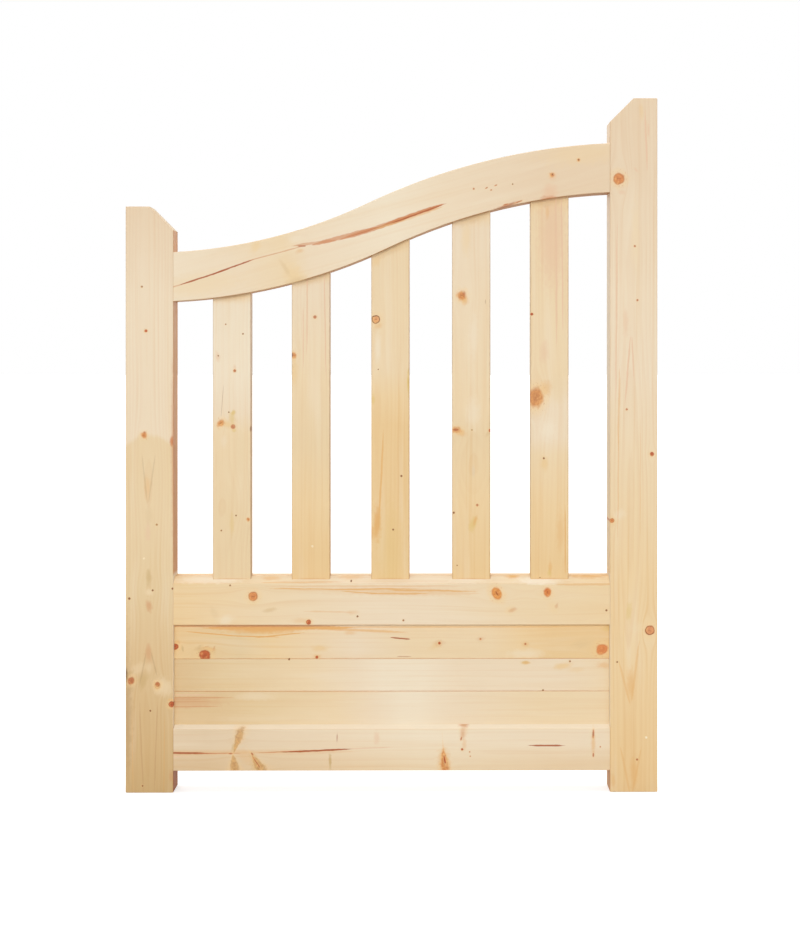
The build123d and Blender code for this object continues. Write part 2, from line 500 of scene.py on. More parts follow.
class MarkGroups:
    """The node groups that draw knots, patches and streaks."""

    OVAL = (
        "Along", "Across", "Wobble", "Ragged", "Mark Along", "Mark Across",
        "Radius", "Stretch", "Turn", "Taper",
    )
    HALO = srgb(240, 204, 146)
    PALE_MOTTLE = srgb(240, 184, 112)
    CRACK = srgb(120, 46, 20)
    LEAST_SWELL = 0.15
    PUSH_DRAWN_OUT = 0.42
    RINGS_PER_MM = 2.1
    # Where each part of a knot starts and is full, in radii from its middle or by its fleck and mottle.
    HALO_SPAN = (2.4, 0.9)
    FLECK_SPAN = (0.1, 0.24)
    FLECK_OUTER = (2.1, 1.5)
    FLECK_INNER = (1.0, 1.15)
    CORE_SPAN = (0.7, 0.1)
    DARK_SPAN = (0.0, 0.32)
    LIGHT_SPAN = (-0.04, -0.32)
    RIM_INNER = (0.7, 0.88)
    RIM_OUTER = (1.06, 0.92)
    SLIT_ACROSS = (0.16, 0.04)
    SLIT_ALONG = (0.45, 0.2)
    PATCH_SPAN = (1.1, 0.2)
    STREAK_TIP = 0.3

    def __init__(self) -> None:
        """Makes every group."""
        self.push = self.make_push()
        self.knot = self.make_knot()
        self.patch = self.make_patch()
        self.streak = self.make_streak()

    def oval(self, group: NodeGroup) -> tuple[Signal, Signal, Signal]:
        """Measures the way from a mark's middle inside a group.

        Args:
            group: A group with the oval inputs.

        Returns:
            The distance in radii, a little uneven, and the signed shares of it along the mark and across.
        """
        off_along, off_across = group["Along"] - group["Mark Along"], group["Across"] - group["Mark Across"]
        cosine, sine = group["Turn"].math("COSINE"), group["Turn"].math("SINE")
        long_way = (off_along * cosine + off_across * sine) / (group["Radius"] * group["Stretch"])
        swell = (long_way * group["Taper"] + 1.0).math("MAXIMUM", self.LEAST_SWELL)
        short_way = (off_across * cosine - off_along * sine) / (group["Radius"] * swell)
        distance = (long_way * long_way + short_way * short_way).math("SQRT")
        return distance * (group["Wobble"] * group["Ragged"] + 1.0), long_way, short_way

    def make_push(self) -> NodeGroup:
        """Makes the group that tells how far a knot pushes the grain aside.

        Returns:
            The group.
        """
        group = NodeGroup("knot_push", ("Along", "Across", "Mark Along", "Mark Across", "Reach"), (),
                          {"Push": "NodeSocketFloat"})
        off_along = (group["Along"] - group["Mark Along"]) * self.PUSH_DRAWN_OUT
        off_across = group["Across"] - group["Mark Across"]
        core = group["Reach"] * group["Reach"]
        apart = (off_along * off_along + off_across * off_across).math("MAXIMUM", core)
        group.give("Push", off_across * core / apart * -1.0)
        return group

    def make_knot(self) -> NodeGroup:
        """Makes the group that draws a knot: its halo and flecks, then its face, rim and cracks.

        Returns:
            The group.
        """
        looks = ("Fleck", "Mottle", "Mottled", "Strength", "Halo", "Blur", "Outline", "Cracks")
        group = NodeGroup("knot", (*self.OVAL, *looks), ("Colour", "Body", "Heart", "Rim"),
                          {"Colour": "NodeSocketColor", "Shown": "NodeSocketFloat"})
        off, ahead, side = self.oval(group)
        heart, fleck, blur = group["Heart"], group["Fleck"], group["Blur"]
        shown = off.step(1.0 + blur, 1.0 - blur) * group["Strength"]
        halo = off.step(*self.HALO_SPAN) * group["Halo"]
        flecks = fleck.step(*self.FLECK_SPAN) * off.step(*self.FLECK_OUTER) * off.step(*self.FLECK_INNER)
        rings = (off * group["Radius"] * self.RINGS_PER_MM).math("SINE") * 0.5 + 0.5
        core = (off + side * 0.3).step(*self.CORE_SPAN)
        mottle = group["Mottle"] * 1.5 + side * 0.1 + ahead * 0.1
        dark = mottle.step(*self.DARK_SPAN) * group["Mottled"]
        light = mottle.step(*self.LIGHT_SPAN) * group["Mottled"]
        rim = off.step(*self.RIM_INNER) * off.step(*self.RIM_OUTER) * group["Outline"]
        rim = rim * (group["Wobble"] * 1.6 + 0.8)
        slit = (side.math("ABSOLUTE") + fleck * 0.6).step(*self.SLIT_ACROSS)
        slit = slit * ahead.math("ABSOLUTE").step(*self.SLIT_ALONG) * group["Cracks"]
        face = group["Body"].over(rings * 0.15 + core * 0.4, heart)
        face = face.over(dark, heart).over(light, self.PALE_MOTTLE)
        colour = group["Colour"].over(halo, self.HALO).over(flecks * group["Halo"], heart).over(shown, face)
        group.give("Colour", colour.over(rim, group["Rim"]).over(slit, self.CRACK))
        group.give("Shown", shown)
        return group

    def make_patch(self) -> NodeGroup:
        """Makes the group that draws a soft patch.

        Returns:
            The group.
        """
        group = NodeGroup("patch", (*self.OVAL, "Strength"), ("Colour", "Tone"),
                          {"Colour": "NodeSocketColor"})
        off, _, _ = self.oval(group)
        shown = off.step(*self.PATCH_SPAN) * group["Strength"]
        group.give("Colour", group["Colour"].over(shown, group["Tone"]))
        return group

    def make_streak(self) -> NodeGroup:
        """Makes the group that draws a streak with drawn-out ends.

        Returns:
            The group.
        """
        places = ("Start Along", "Start Across", "End Along", "End Across")
        numbers = ("Along", "Across", "Sway", "Edge", *places, "Half Width", "Soft", "Strength")
        group = NodeGroup("streak", numbers, ("Colour", "Tone"), {"Colour": "NodeSocketColor"})
        start, start_across, end, end_across = (group[label] for label in places)
        share = (group["Along"] - start) / (end - start)
        swell = share.step(0.0, self.STREAK_TIP) * share.step(1.0, 1.0 - self.STREAK_TIP)
        line = start_across + share * (end_across - start_across) + group["Sway"]
        off = (group["Across"] - line).math("ABSOLUTE") / group["Half Width"] + group["Edge"] * 0.8
        shown = off.step(swell, swell * (1.0 - group["Soft"])) * swell.step(0.02, 0.3)
        group.give("Colour", group["Colour"].over(shown * group["Strength"], group["Tone"]))
        return group


@dataclass(frozen=True)
class NoiseSize:
    """The size of a noise's features in millimetres, and whether it flows round the knots."""

    along: float
    across: float
    shift: float
    detail: float = 2.0
    flows: bool = False


class Pattern(Enum):
    """The noises that make the wood uneven."""

    WOBBLE = NoiseSize(9, 6, 3.1)
    SWERVE = NoiseSize(180, 40, 2.3)
    RISE = NoiseSize(300, 900, 11, 1)
    LEAN = NoiseSize(500, 900, 23, 1)
    RIPPLE = NoiseSize(70, 9, 31, 2, True)
    SHADE = NoiseSize(60, 14, 5)
    CLOUD = NoiseSize(260, 24, 41, 2, True)
    VEIN = NoiseSize(420, 5.5, 53, 3, True)
    RING_SHARE = NoiseSize(160, 30, 59, 1)
    FIBRE = NoiseSize(40, 0.8, 61, 1, True)
    SWAY = NoiseSize(55, 4000, 71, 1)
    STREAK_EDGE = NoiseSize(10, 2, 83)
    FLECK = NoiseSize(4, 1.4, 91)
    WEAR = NoiseSize(45, 30, 97)
    MOTTLE = NoiseSize(4.5, 4.5, 101, 3)


@dataclass(frozen=True)
class Wash:
    """A colour laid thinly over the wood, of the wood's own or of painted light and shade."""

    colour: Colour
    blend: Blend = Blend.STAIN


class Tint(Enum):
    """The washes on the wood, named for where they lie. Those for the right sides, horns, undersides, bevels
    and flat tops are painted light and shade.
    """

    LOW_EDGE = Wash((0.93, 0.84, 0.70))
    CLOUD = Wash((0.96, 0.87, 0.74))
    CLEAR = Wash(IVORY.value, Blend.COVER)
    VEIN = Wash((0.93, 0.82, 0.68))
    LATE_RING = Wash((0.86, 0.66, 0.48))
    # Painted light and shade: shade on the right sides, the horns and the undersides, a highlight on the
    # bevels, and shade on the flat tops.
    RIGHT_SIDE_SHADE = Wash((0.74, 0.43, 0.20))
    HORN = Wash((0.80, 0.58, 0.48))
    UNDERSIDE_SHADE = Wash((0.62, 0.38, 0.22))
    BEVEL = Wash(WHITE.value, Blend.COVER)
    FLAT_TOP_SHADE = Wash((0.90, 0.70, 0.48))
    FIBRE = Wash((0.95, 0.88, 0.79))
    END_GRAIN = Wash((0.80, 0.62, 0.44))
    WEAR = Wash((0.92, 0.80, 0.66))

    def over(self, colour: Signal, share: Signal) -> Signal:
        """Lays the wash over a colour, as strongly as its share from 0 to 1."""
        return colour.over(share, self.value.colour, self.value.blend)


class WoodShader:
    """Builds one timber's material of growth rings, fibres, marks, wear and painted light and shade, with
    lengths in millimetres.
    """

    SEED_STEP = 17.3
    SWERVE = 3.0
    RIPPLE = 1.6
    SHADE_SHIFT = 14.0
    # The least radius of a knot that pushes the grain aside, and the reach of its full push in radii.
    LEAST_PUSHER = 2.5
    PUSH_REACH = 1.3
    PANEL_FADE = 5.0
    # How far below the panel the painted shade on a horn's inner side starts and is full.
    HORN_START = 70.0
    HORN_FULL = 80.0
    # The middle of the rings' uneven strength, and the least that a year's growth shows.
    RING_LEVEL = 0.6
    LEAST_VIGOUR = 0.2
    # How strong the wear beside the edges is, and how uneven a patch's outline is.
    EDGE_WEAR = 0.6
    PATCH_RAGGED = 1.1
    # Over what depth the marks on the front fade out.
    MARK_FADE = 7.0
    ROUGHNESS = 0.62
    SPECULAR = 0.2
    RELIEF_STRENGTH = 0.3
    RELIEF_DEPTH = 0.3

    def __init__(self, name: str, wood: Softwood, grain_angle: float, box: tuple[Vector, Vector],
                 groups: MarkGroups) -> None:
        """Starts an empty material and the timber's own coordinates.

        Args:
            name: The material's name.
            wood: The timber's cut and marks.
            grain_angle: The grain's direction in degrees, from level towards upright.
            box: The timber's lowest and highest corners in metres.
            groups: The node groups for the marks.
        """
        self.wood = wood
        self.groups = groups
        self.grain_angle = grain_angle
        self.cosine = math.cos(math.radians(grain_angle))
        self.sine = math.sin(math.radians(grain_angle))
        self.material, self.shader = new_material(name)
        self.tree = self.material.node_tree
        lowest, highest = (corner / MM for corner in box)
        self.middle_x, self.foot_z, self.front = (lowest.x + highest.x) / 2, lowest.z, lowest.y
        half, tall = (highest.x - lowest.x) / 2, highest.z - lowest.z
        corners = [self.to_grain(x, z) for x in (-half, half) for z in (0.0, tall)]
        self.foot, self.head = (pick(along for along, _ in corners) for pick in (min, max))
        low, high = (pick(across for _, across in corners) for pick in (min, max))
        self.centre, self.half = (low + high) / 2, (high - low) / 2
        self.read_place()

    def to_grain(self, x: float, z: float) -> tuple[float, float]:
        """Turns a place from the middle of the timber's foot into one along and across the grain."""
        x, z = x + self.middle_x, z + self.foot_z
        return x * self.cosine + z * self.sine, z * self.cosine - x * self.sine

    def read_place(self) -> None:
        """Makes signals for the place along the grain, across it and through the thickness."""
        coordinate = self.tree.nodes.new("ShaderNodeTexCoord")
        x, y, z = (axis * (1 / MM) for axis in self.split(coordinate.outputs["Object"]))
        self.along = x * self.cosine + z * self.sine
        self.across = z * self.cosine - x * self.sine
        self.depth = y
        self.place = self.join(self.across)
        self.wobble = self.noise(Pattern.WOBBLE)
        self.flow = self.across + self.push_of_knots()
        self.flowing_place = self.join(self.flow)
        geometry = self.tree.nodes.new("ShaderNodeNewGeometry")
        self.faces = self.split(geometry.outputs["True Normal"])

    def split(self, vector: bpy.types.NodeSocket) -> tuple[Signal, ...]:
        """Gives the three parts of a vector.

        Args:
            vector: The output that carries it.

        Returns:
            Its parts along X, Y and Z.
        """
        node = self.tree.nodes.new("ShaderNodeSeparateXYZ")
        self.tree.links.new(vector, node.inputs[0])
        return tuple(Signal(self.tree, output) for output in node.outputs)

    def join(self, across: Signal) -> bpy.types.NodeSocket:
        """Makes a vector of the place along the grain, a place across it and the depth.

        Args:
            across: The place across the grain.

        Returns:
            The output that carries the vector.
        """
        node = self.tree.nodes.new("ShaderNodeCombineXYZ")
        for socket, number in zip(node.inputs, (self.along, across, self.depth)):
            plug(socket, number)
        return node.outputs[0]

    def noise(self, pattern: Pattern) -> Signal:
        """Adds one of the wood's noises.

        Args:
            pattern: Which one.

        Returns:
            A number from about -0.5 to 0.5.
        """
        size = pattern.value
        place = self.flowing_place if size.flows else self.place
        scale = (1 / size.along, 1 / size.across, 1 / size.across)
        return noise_node(self.tree, place, scale, self.wood.seed * self.SEED_STEP + size.shift, size.detail)

    def push_of_knots(self) -> Signal:
        """How far the larger knots push the grain aside.

        Returns:
            The push across the grain.
        """
        push = self.noise(Pattern.SWERVE) * self.SWERVE
        for knot in self.wood.knots:
            if knot.radius < self.LEAST_PUSHER or knot.kind is PALE:
                continue
            along, across = self.to_grain(knot.x, knot.z)
            node = self.groups.push.use(self.tree, {
                "Along": self.along, "Across": self.across, "Mark Along": along, "Mark Across": across,
                "Reach": knot.radius * self.PUSH_REACH,
            })
            push = push + Signal(self.tree, node.outputs[0])
        return push

    def late_growth(self) -> Signal:
        """The dense late part of the growth rings, from 0 to 1.

        Returns:
            How dense the wood is.
        """
        wood = self.wood
        rise = self.noise(Pattern.RISE) * (FULL_SWING * wood.wander)
        for crest in wood.crests:
            off = (self.along - (self.foot + crest.along)) / crest.spread
            rise = rise + (off * off * -1.0).math("EXPONENT") * crest.rise
        off_depth = rise + (self.depth - self.front) - wood.pith_depth
        lean = self.noise(Pattern.LEAN) * wood.wander
        off_across = self.flow + lean - (self.centre + wood.pith_across)
        radius = (off_depth * off_depth + off_across * off_across).math("SQRT")
        turns = (radius + self.noise(Pattern.RIPPLE) * self.RIPPLE) / wood.ring
        yearly = self.tree.nodes.new("ShaderNodeTexWhiteNoise")
        yearly.noise_dimensions = "1D"
        plug(yearly.inputs["W"], turns.math("FLOOR") + wood.seed)
        vigour = Signal(self.tree, yearly.outputs["Value"]) * (1.0 - self.LEAST_VIGOUR) + self.LEAST_VIGOUR
        part = turns.math("FRACT")
        return part.step(0.15, 0.85) * part.step(1.0, 0.88) * vigour

    def shades(self, off: Signal) -> Signal:
        """The shade of the wood along the grain.

        Args:
            off: The place across the timber, from -1 to 1.

        Returns:
            The colour.
        """
        wood = self.wood
        place = self.along + self.noise(Pattern.SHADE) * self.SHADE_SHIFT + off * off * wood.tone_bow
        ramp = self.tree.nodes.new("ShaderNodeValToRGB")
        plug(ramp.inputs[0], (place - self.foot) / (self.head - self.foot))
        stops = ramp.color_ramp.elements
        while len(stops) < len(wood.tones):
            stops.new(1.0)
        for stop, (share, tone) in zip(stops, wood.tones):
            stop.position = share
            stop.color = (*tone.value, 1.0)
        return Signal(self.tree, ramp.outputs[0])

    def ground(self, late: Signal, fibre: Signal) -> Signal:
        """The colour of the clear wood between the marks, with the light and shade painted on some faces.

        Args:
            late: The dense part of the rings.
            fibre: The fine fibres.

        Returns:
            The colour.
        """
        wood, (right, _, up) = self.wood, self.faces
        off = (self.across - self.centre) / self.half
        cloud, vein = self.noise(Pattern.CLOUD), self.noise(Pattern.VEIN)
        patchy = self.noise(Pattern.RING_SHARE) + self.RING_LEVEL
        low, high = (self.foot + limit for limit in wood.panel_side)
        fade = self.PANEL_FADE
        beside = self.along.step(low - fade, low + fade) * self.along.step(high + fade, high - fade)
        horn = self.along.step(low - self.HORN_START, low - self.HORN_FULL)
        inward = (right * (1.0 if self.middle_x < 0.0 else -1.0)).step(0.2, 0.7)
        washes = (
            (Tint.LOW_EDGE, off.step(0.3, -0.9) * wood.low_edge),
            (Tint.CLOUD, cloud.step(0.02, 0.3) * wood.cloud_strength),
            (Tint.CLEAR, cloud.step(-0.02, -0.3) * wood.clear_strength),
            (Tint.VEIN, vein.step(0.0, 0.28) * wood.vein_strength),
            (Tint.LATE_RING, late * patchy * wood.ring_strength),
            # Painted shade, reddish brown, on the faces that look to the right.
            (Tint.RIGHT_SIDE_SHADE, right.step(0.75, 0.95) * wood.right_side_painted_shade),
            # Painted light on the stiles' inner sides beside the recessed boards, where shade would fall.
            (Tint.CLEAR, beside * inward * wood.panel_side_painted_light),
            # Painted shade on the stiles' inner sides below the bottom rail, near the floor.
            (Tint.HORN, horn * inward * wood.horn_painted_shade),
            # Painted shade on the faces that look down.
            (Tint.UNDERSIDE_SHADE, up.step(-0.4, -0.9) * wood.underside_painted_shade),
            # Painted highlight on the sloping faces that look up.
            (Tint.BEVEL, up.step(0.5, 0.8) * wood.bevel_painted_highlight),
            # Painted shade, darker and warmer, on the flat faces that look straight up.
            (Tint.FLAT_TOP_SHADE, up.step(0.9, 0.97) * wood.flat_top_painted_shade),
            (Tint.FIBRE, fibre.step(0.0, 0.4) * wood.fibre_strength),
        )
        colour = self.shades(off)
        for tint, share in washes:
            colour = tint.over(colour, share)
        return colour

    def end_grain(self) -> Signal:
        """Where the timber is cut across its grain, from 0 to 1."""
        turned = self.faces[0] * self.cosine + self.faces[2] * self.sine
        return turned.math("ABSOLUTE").step(0.75, 0.95)

    def worn_edges(self) -> Signal:
        """Where hands have rubbed the timber: on rounded arrises, and in patches beside the long edges.

        Returns:
            How worn it is, from 0 to 1.
        """
        _, outward, up = self.faces
        square = outward * outward
        bevel = up.step(0.8, 0.84) * up.step(0.9, 0.86)
        rounded = (square - square * square).step(0.04, 0.15) * (1.0 - bevel)
        inside = self.half - (self.across - self.centre).math("ABSOLUTE")
        patchy = self.noise(Pattern.WEAR).step(-0.15, 0.2)
        return rounded.math("MAXIMUM", inside.step(self.wood.worn, 0.0) * patchy * self.EDGE_WEAR)

    def oval_values(self, mark: Union[Knot, Patch], ragged: float) -> dict[str, Value]:
        """What an oval mark's group needs to know of its place and shape.

        Args:
            mark: The knot or patch.
            ragged: How uneven its outline is, from 0.

        Returns:
            The values by the names of the group's inputs.
        """
        along, across = self.to_grain(mark.x, mark.z)
        return {
            "Along": self.along, "Across": self.across, "Wobble": self.wobble, "Ragged": ragged,
            "Mark Along": along, "Mark Across": across, "Radius": mark.radius, "Stretch": mark.stretch,
            "Turn": math.radians(mark.turn - self.grain_angle), "Taper": mark.taper,
        }

    def lay_patches(self, colour: Signal, front: Signal) -> Signal:
        """Lays the soft patches over the wood.

        Args:
            colour: The colour so far.
            front: The part of the timber that shows them, from 0 to 1.

        Returns:
            The colour with the patches.
        """
        for patch in self.wood.patches:
            node = self.groups.patch.use(self.tree, {
                **self.oval_values(patch, self.PATCH_RAGGED),
                "Strength": front * patch.strength, "Colour": colour, "Tone": patch.tone.value,
            })
            colour = Signal(self.tree, node.outputs[0])
        return colour

    def lay_streaks(self, colour: Signal, front: Signal) -> Signal:
        """Lays the streaks over the wood.

        Args:
            colour: The colour so far.
            front: The part of the timber that shows them, from 0 to 1.

        Returns:
            The colour with the streaks.
        """
        sway, edge = self.noise(Pattern.SWAY), self.noise(Pattern.STREAK_EDGE)
        for streak in self.wood.streaks:
            start, start_across = self.to_grain(*streak.start)
            end, end_across = self.to_grain(*streak.end)
            node = self.groups.streak.use(self.tree, {
                "Along": self.along, "Across": self.across,
                "Sway": sway * (FULL_SWING * streak.sway), "Edge": edge,
                "Start Along": start, "Start Across": start_across,
                "End Along": end, "End Across": end_across,
                "Half Width": streak.half_width, "Soft": streak.soft, "Strength": front * streak.strength,
                "Colour": colour, "Tone": streak.tone.value,
            })
            colour = Signal(self.tree, node.outputs[0])
        return colour

    def lay_knots(self, colour: Signal) -> tuple[Signal, Signal]:
        """Lays the knots over the wood.

        Args:
            colour: The colour so far.

        Returns:
            The colour with the knots, and where they show.
        """
        shown = self.along * 0.0
        fleck, mottle = self.noise(Pattern.FLECK), self.noise(Pattern.MOTTLE)
        for knot in self.wood.knots:
            look = knot.kind.value
            node = self.groups.knot.use(self.tree, {
                **self.oval_values(knot, look.ragged), "Fleck": fleck, "Mottle": mottle,
                "Mottled": look.mottle, "Strength": look.strength, "Halo": look.halo, "Blur": look.blur,
                "Outline": look.outline, "Cracks": look.cracks,
                "Colour": colour, "Body": look.body, "Heart": look.heart, "Rim": look.rim,
            })
            colour = Signal(self.tree, node.outputs["Colour"])
            shown = shown + Signal(self.tree, node.outputs["Shown"])
        return colour, shown

    def build(self) -> bpy.types.Material:
        """Makes the whole material.

        Returns:
            The finished material.
        """
        late, fibre = self.late_growth(), self.noise(Pattern.FIBRE)
        deepest = self.front + self.wood.mark_depth
        front = self.depth.step(deepest + self.MARK_FADE, deepest)
        colour = self.lay_streaks(self.lay_patches(self.ground(late, fibre), front), front)
        colour, shown = self.lay_knots(colour)
        end, worn = self.end_grain(), self.worn_edges()
        colour = Tint.END_GRAIN.over(colour, end * (late * 0.5 + 0.5))
        plug(self.shader.inputs["Base Color"], Tint.WEAR.over(colour, worn * self.wood.wear_strength))
        roughness = late * -0.08 + fibre * 0.12 - shown * 0.12 + end * 0.15 - worn * 0.1 + self.ROUGHNESS
        plug(self.shader.inputs["Roughness"], roughness)
        self.shader.inputs["Specular IOR Level"].default_value = self.SPECULAR
        relief = late * 0.35 + fibre * 0.4 + shown * 0.4
        roughen(self.shader, relief, self.RELIEF_STRENGTH, self.RELIEF_DEPTH)
        return self.material


@dataclass(frozen=True)
class BradSteel:
    """The finish of the brads: drawn steel, bright with dull blotches."""

    bright: Colour = srgb(190, 188, 184)
    dull: Colour = srgb(128, 122, 114)
    blotch: float = 1.2
    blotch_shift: float = 5.0
    blotch_detail: float = 3.0
    roughness: float = 0.36
    dull_roughness: float = 0.25
    relief_strength: float = 0.2
    relief_depth: float = 0.05

    def make(self) -> bpy.types.Material:
        """Makes the material.

        Returns:
            The finished material.
        """
        material, shader = new_material("brad_steel")
        tree = material.node_tree
        place = tree.nodes.new("ShaderNodeTexCoord").outputs["Object"]
        scale = 1 / (self.blotch * MM)
        blotches = noise_node(tree, place, (scale, scale, scale), self.blotch_shift, self.blotch_detail)
        dulled = blotches.step(-0.1, 0.25)
        plug(shader.inputs["Base Color"], dulled.between(self.bright, self.dull))
        plug(shader.inputs["Roughness"], dulled * self.dull_roughness + self.roughness)
        shader.inputs["Metallic"].default_value = 1.0
        roughen(shader, dulled, self.relief_strength, self.relief_depth)
        return material


class Grain(Enum):
    """Which way a timber's grain runs, in degrees from level."""

    LEVEL = 0.0
    UPRIGHT = 90.0
    NECK = 15.5


class Dresser:
    """Gives the frame's pieces their materials, and reports each one."""

    def __init__(self, nodes: dict[str, bpy.types.Object], groups: MarkGroups) -> None:
        """Keeps the frame's pieces by name and the node groups for the marks."""
        self.nodes = nodes
        self.groups = groups

    def timber(self, node: str, grain: Grain, wood: Softwood) -> None:
        """Gives one timber its own wood.

        Args:
            node: The timber's name in the frame.
            grain: Which way its grain runs.
            wood: How it was cut, with its marks.
        """
        self.piece(node, WoodShader(f"{node}_wood", wood, grain.value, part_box(node), self.groups).build())

    def piece(self, node: str, material: bpy.types.Material) -> None:
        """Gives one piece a finished material.

        Args:
            node: The piece's name in the frame.
            material: The material.
        """
        materials = self.nodes[node].data.materials
        materials.clear()
        materials.append(material)
        LOG.info("dressed %s", node)


@dataclass
class Stiles:
    """The latch stile and the taller hanging stile, with sizes in millimetres."""

    # The heights between which the panel's boards meet the stiles.
    panel_side: tuple[float, float] = (112.0, 375.0)
    # Pale above, and deep gold towards its foot.
    latch: Softwood = Softwood(
        seed=1, pith_across=2.7, pith_depth=18, ring=4.5, tone_bow=20, right_side_painted_shade=1, panel_side_painted_light=1,
        horn_painted_shade=1,
        tones=(
            (0.03, DEEP), (0.25, GOLD), (0.35, FAWN), (0.46, WHEAT), (0.605, WHEAT), (0.613, CREAM),
            (0.85, CREAM), (1, OAT),
        ),
        crests=(Crest(537, 6, 75), Crest(348, 5, 28), Crest(90, 7, 150)),
        knots=(
            Knot(-6, 794, 2.4, RED), Knot(-9.5, 615, 4.8, FLARED), Knot(-34.5, 334, 2.2, PIN),
            Knot(-31.5, 192.8, 5.4, DULL, 1.2, 60), Knot(14, 184.5, 5.4, BRANCH),
            Knot(14, 186.5, 4.2, DULL), Knot(37.5, 152, 5, RED),
            *knots_at(PIN, 1.7, (-13, 870), (12.5, 461), (5.5, 348), (39.5, 351), (1.5, 141), (-12, 12)),
            *knots_at(PALE, 1.8, (-9.5, 403)),
        ),
        patches=(
            Patch(-39.5, 201, 3, BARK, 5.5, 90, 0.95), Patch(38.5, 604, 4.4, RUSSET, 2.4, 90, 0.95),
            Patch(-3.5, 525, 7, ORANGE, 4, 90, 0.3), Patch(-2.5, 447, 6, ROSE, 3.5, 90),
            Patch(-1, 370, 6, DEEP, 3, 90, 0.7), Patch(-1, 345, 8, STRAW, 1.2, 0, 0.8),
            Patch(-1, 322, 7, RUSSET, 1.8, 90), Patch(-1.5, 241, 8, RUSSET, 2.6, 90, 0.4, -0.5),
            Patch(-21, 213, 12, STRAW, 1.6, 35, 0.4), Patch(0, 215, 7, STRAW, 1.6, 90, 0.35),
            Patch(24, 182, 20, STRAW, 1.2, -20, 0.65), Patch(-11, 193, 10, DEEP, 1.9, 80, 0.95),
            Patch(-33, 206, 5, DEEP, 1.8, 35, 0.6), Patch(-1, 478, 9, GOLD, 2.2, 90, 0.4),
            Patch(-36, 120, 12, DEEP, 7, 90, 0.6), Patch(-41, 140, 14, BROWN, 12, 90, 0.27),
            Patch(41, 590, 5, RUSSET, 40, 90, 0.4), Patch(36, 159, 4, ORANGE, 1.5),
            Patch(37, 29, 5, RUSSET, 2.5, 90, 0.3),
        ),
        streaks=(
            Streak((-17.5, 172), (-10, -15), 1.6, RUST, 0.22, 1, 0.7),
            Streak((15, 172), (7.5, -15), 1.6, RUST, 0.22, 1, 0.7),
            Streak((-30, 165), (-28, -20), 1, ORANGE, 0.3), Streak((27, 150), (24, -20), 1, ORANGE, 0.3),
            Streak((-4.5, 246), (-18, 180), 2, BROWN, 0.22, 0.6, 0.9),
            Streak((2, 246), (14, 196), 2, BROWN, 0.22, 0.6, 0.9),
            Streak((-14, 590), (-2.5, 490), 2.2, BROWN, 0.16, 0.4, 0.9),
            Streak((11, 590), (-2.5, 490), 2.2, BROWN, 0.16, 0.4, 0.9),
        ),
    )
    # The straightest, with one large knot near its head.
    hanging: Softwood = Softwood(
        seed=2, pith_across=5.7, pith_depth=30, ring=5, vein_strength=0.55, panel_side_painted_light=1, horn_painted_shade=1,
        tones=(
            (0.03, AMBER), (0.2, HONEY), (0.3, HONEY), (0.44, STRAW), (0.6, CREAM), (0.72, CREAM),
            (0.9, OAT),
        ),
        crests=(Crest(470, 14, 260),),
        knots=(
            Knot(-25.5, 1056, 9.6), Knot(31.5, 582, 3.5, RED), Knot(-37.5, 467.5, 4),
            Knot(27.6, 278.2, 8.2, RINGED), *knots_at(SPECK, 1.8, (2, 940), (6.5, 847), (-12, 659)),
            Knot(5.8, 56, 2, DULL), *knots_at(PIN, 1.6, (-28.5, 224)), *knots_at(PALE, 2, (21.5, 94)),
        ),
        patches=(
            Patch(-8, 310, 7, RESIN, 3, 90, 0.45), Patch(-24.5, 478, 10, IVORY, 1.5, 30, 0.4),
            Patch(7.5, 283, 11, STRAW, 1.5, 10), Patch(4.5, 1071, 3, ROSE, 2.5, -50, 0.6),
            Patch(-5, 184, 9, ORANGE, 4, 90), Patch(13.5, 1171, 5, AMBER, 4, 90),
            Patch(25.5, 1138, 3, ROSE, 5, 90, 0.6), Patch(-14, 810, 6, ROSE, 5, 90),
            # The ROSE patch at (-20, 1033) is the neck's shadow, painted on the stile.
            Patch(-20, 1033, 6, ROSE, 1.5), Patch(1, 34, 10, ORANGE, 3.4, 90, 0.45),
            Patch(-35, 20, 5, ORANGE, 3, 90, 0.4), Patch(3, 955, 10, STRAW, 8, 90, 0.6),
        ),
        streaks=(
            Streak((-24, 745), (-27, 570), 2.8, ORANGE, 0.45, 1, 0.9),
            Streak((-25.5, 640), (-27.5, 417), 1.5, ORANGE, 0.35),
            Streak((11.5, 660), (11.5, 420), 1.2, ORANGE, 0.3),
            Streak((19.5, 1185), (23.5, 1060), 2, ROSE, 0.8),
            Streak((-4.5, 795), (-15.5, 660), 2, ROSE, 0.85),
            Streak((-3.5, 795), (1.5, 700), 1.8, ROSE, 0.75),
            Streak((-28, 1010), (-31, 640), 2, ROSE, 0.8, 1, 0.8),
            Streak((-27, 232), (-5, 146), 3.2, ORANGE, 0.4, 0.4, 0.9),
            Streak((11, 270), (-5, 146), 3.2, ORANGE, 0.4, 0.4, 0.9),
            Streak((-24, 85), (-4.5, -12), 3, ORANGE, 0.4, 0.4, 0.9),
            Streak((15, 85), (-4.5, -12), 3, ORANGE, 0.4, 0.4, 0.9),
        ),
    )

    def dress(self, dresser: Dresser) -> None:
        """Dresses both stiles."""
        for node, wood in (("latch_stile", self.latch), ("hanging_stile", self.hanging)):
            dresser.timber(node, Grain.UPRIGHT, replace(wood, panel_side=self.panel_side))


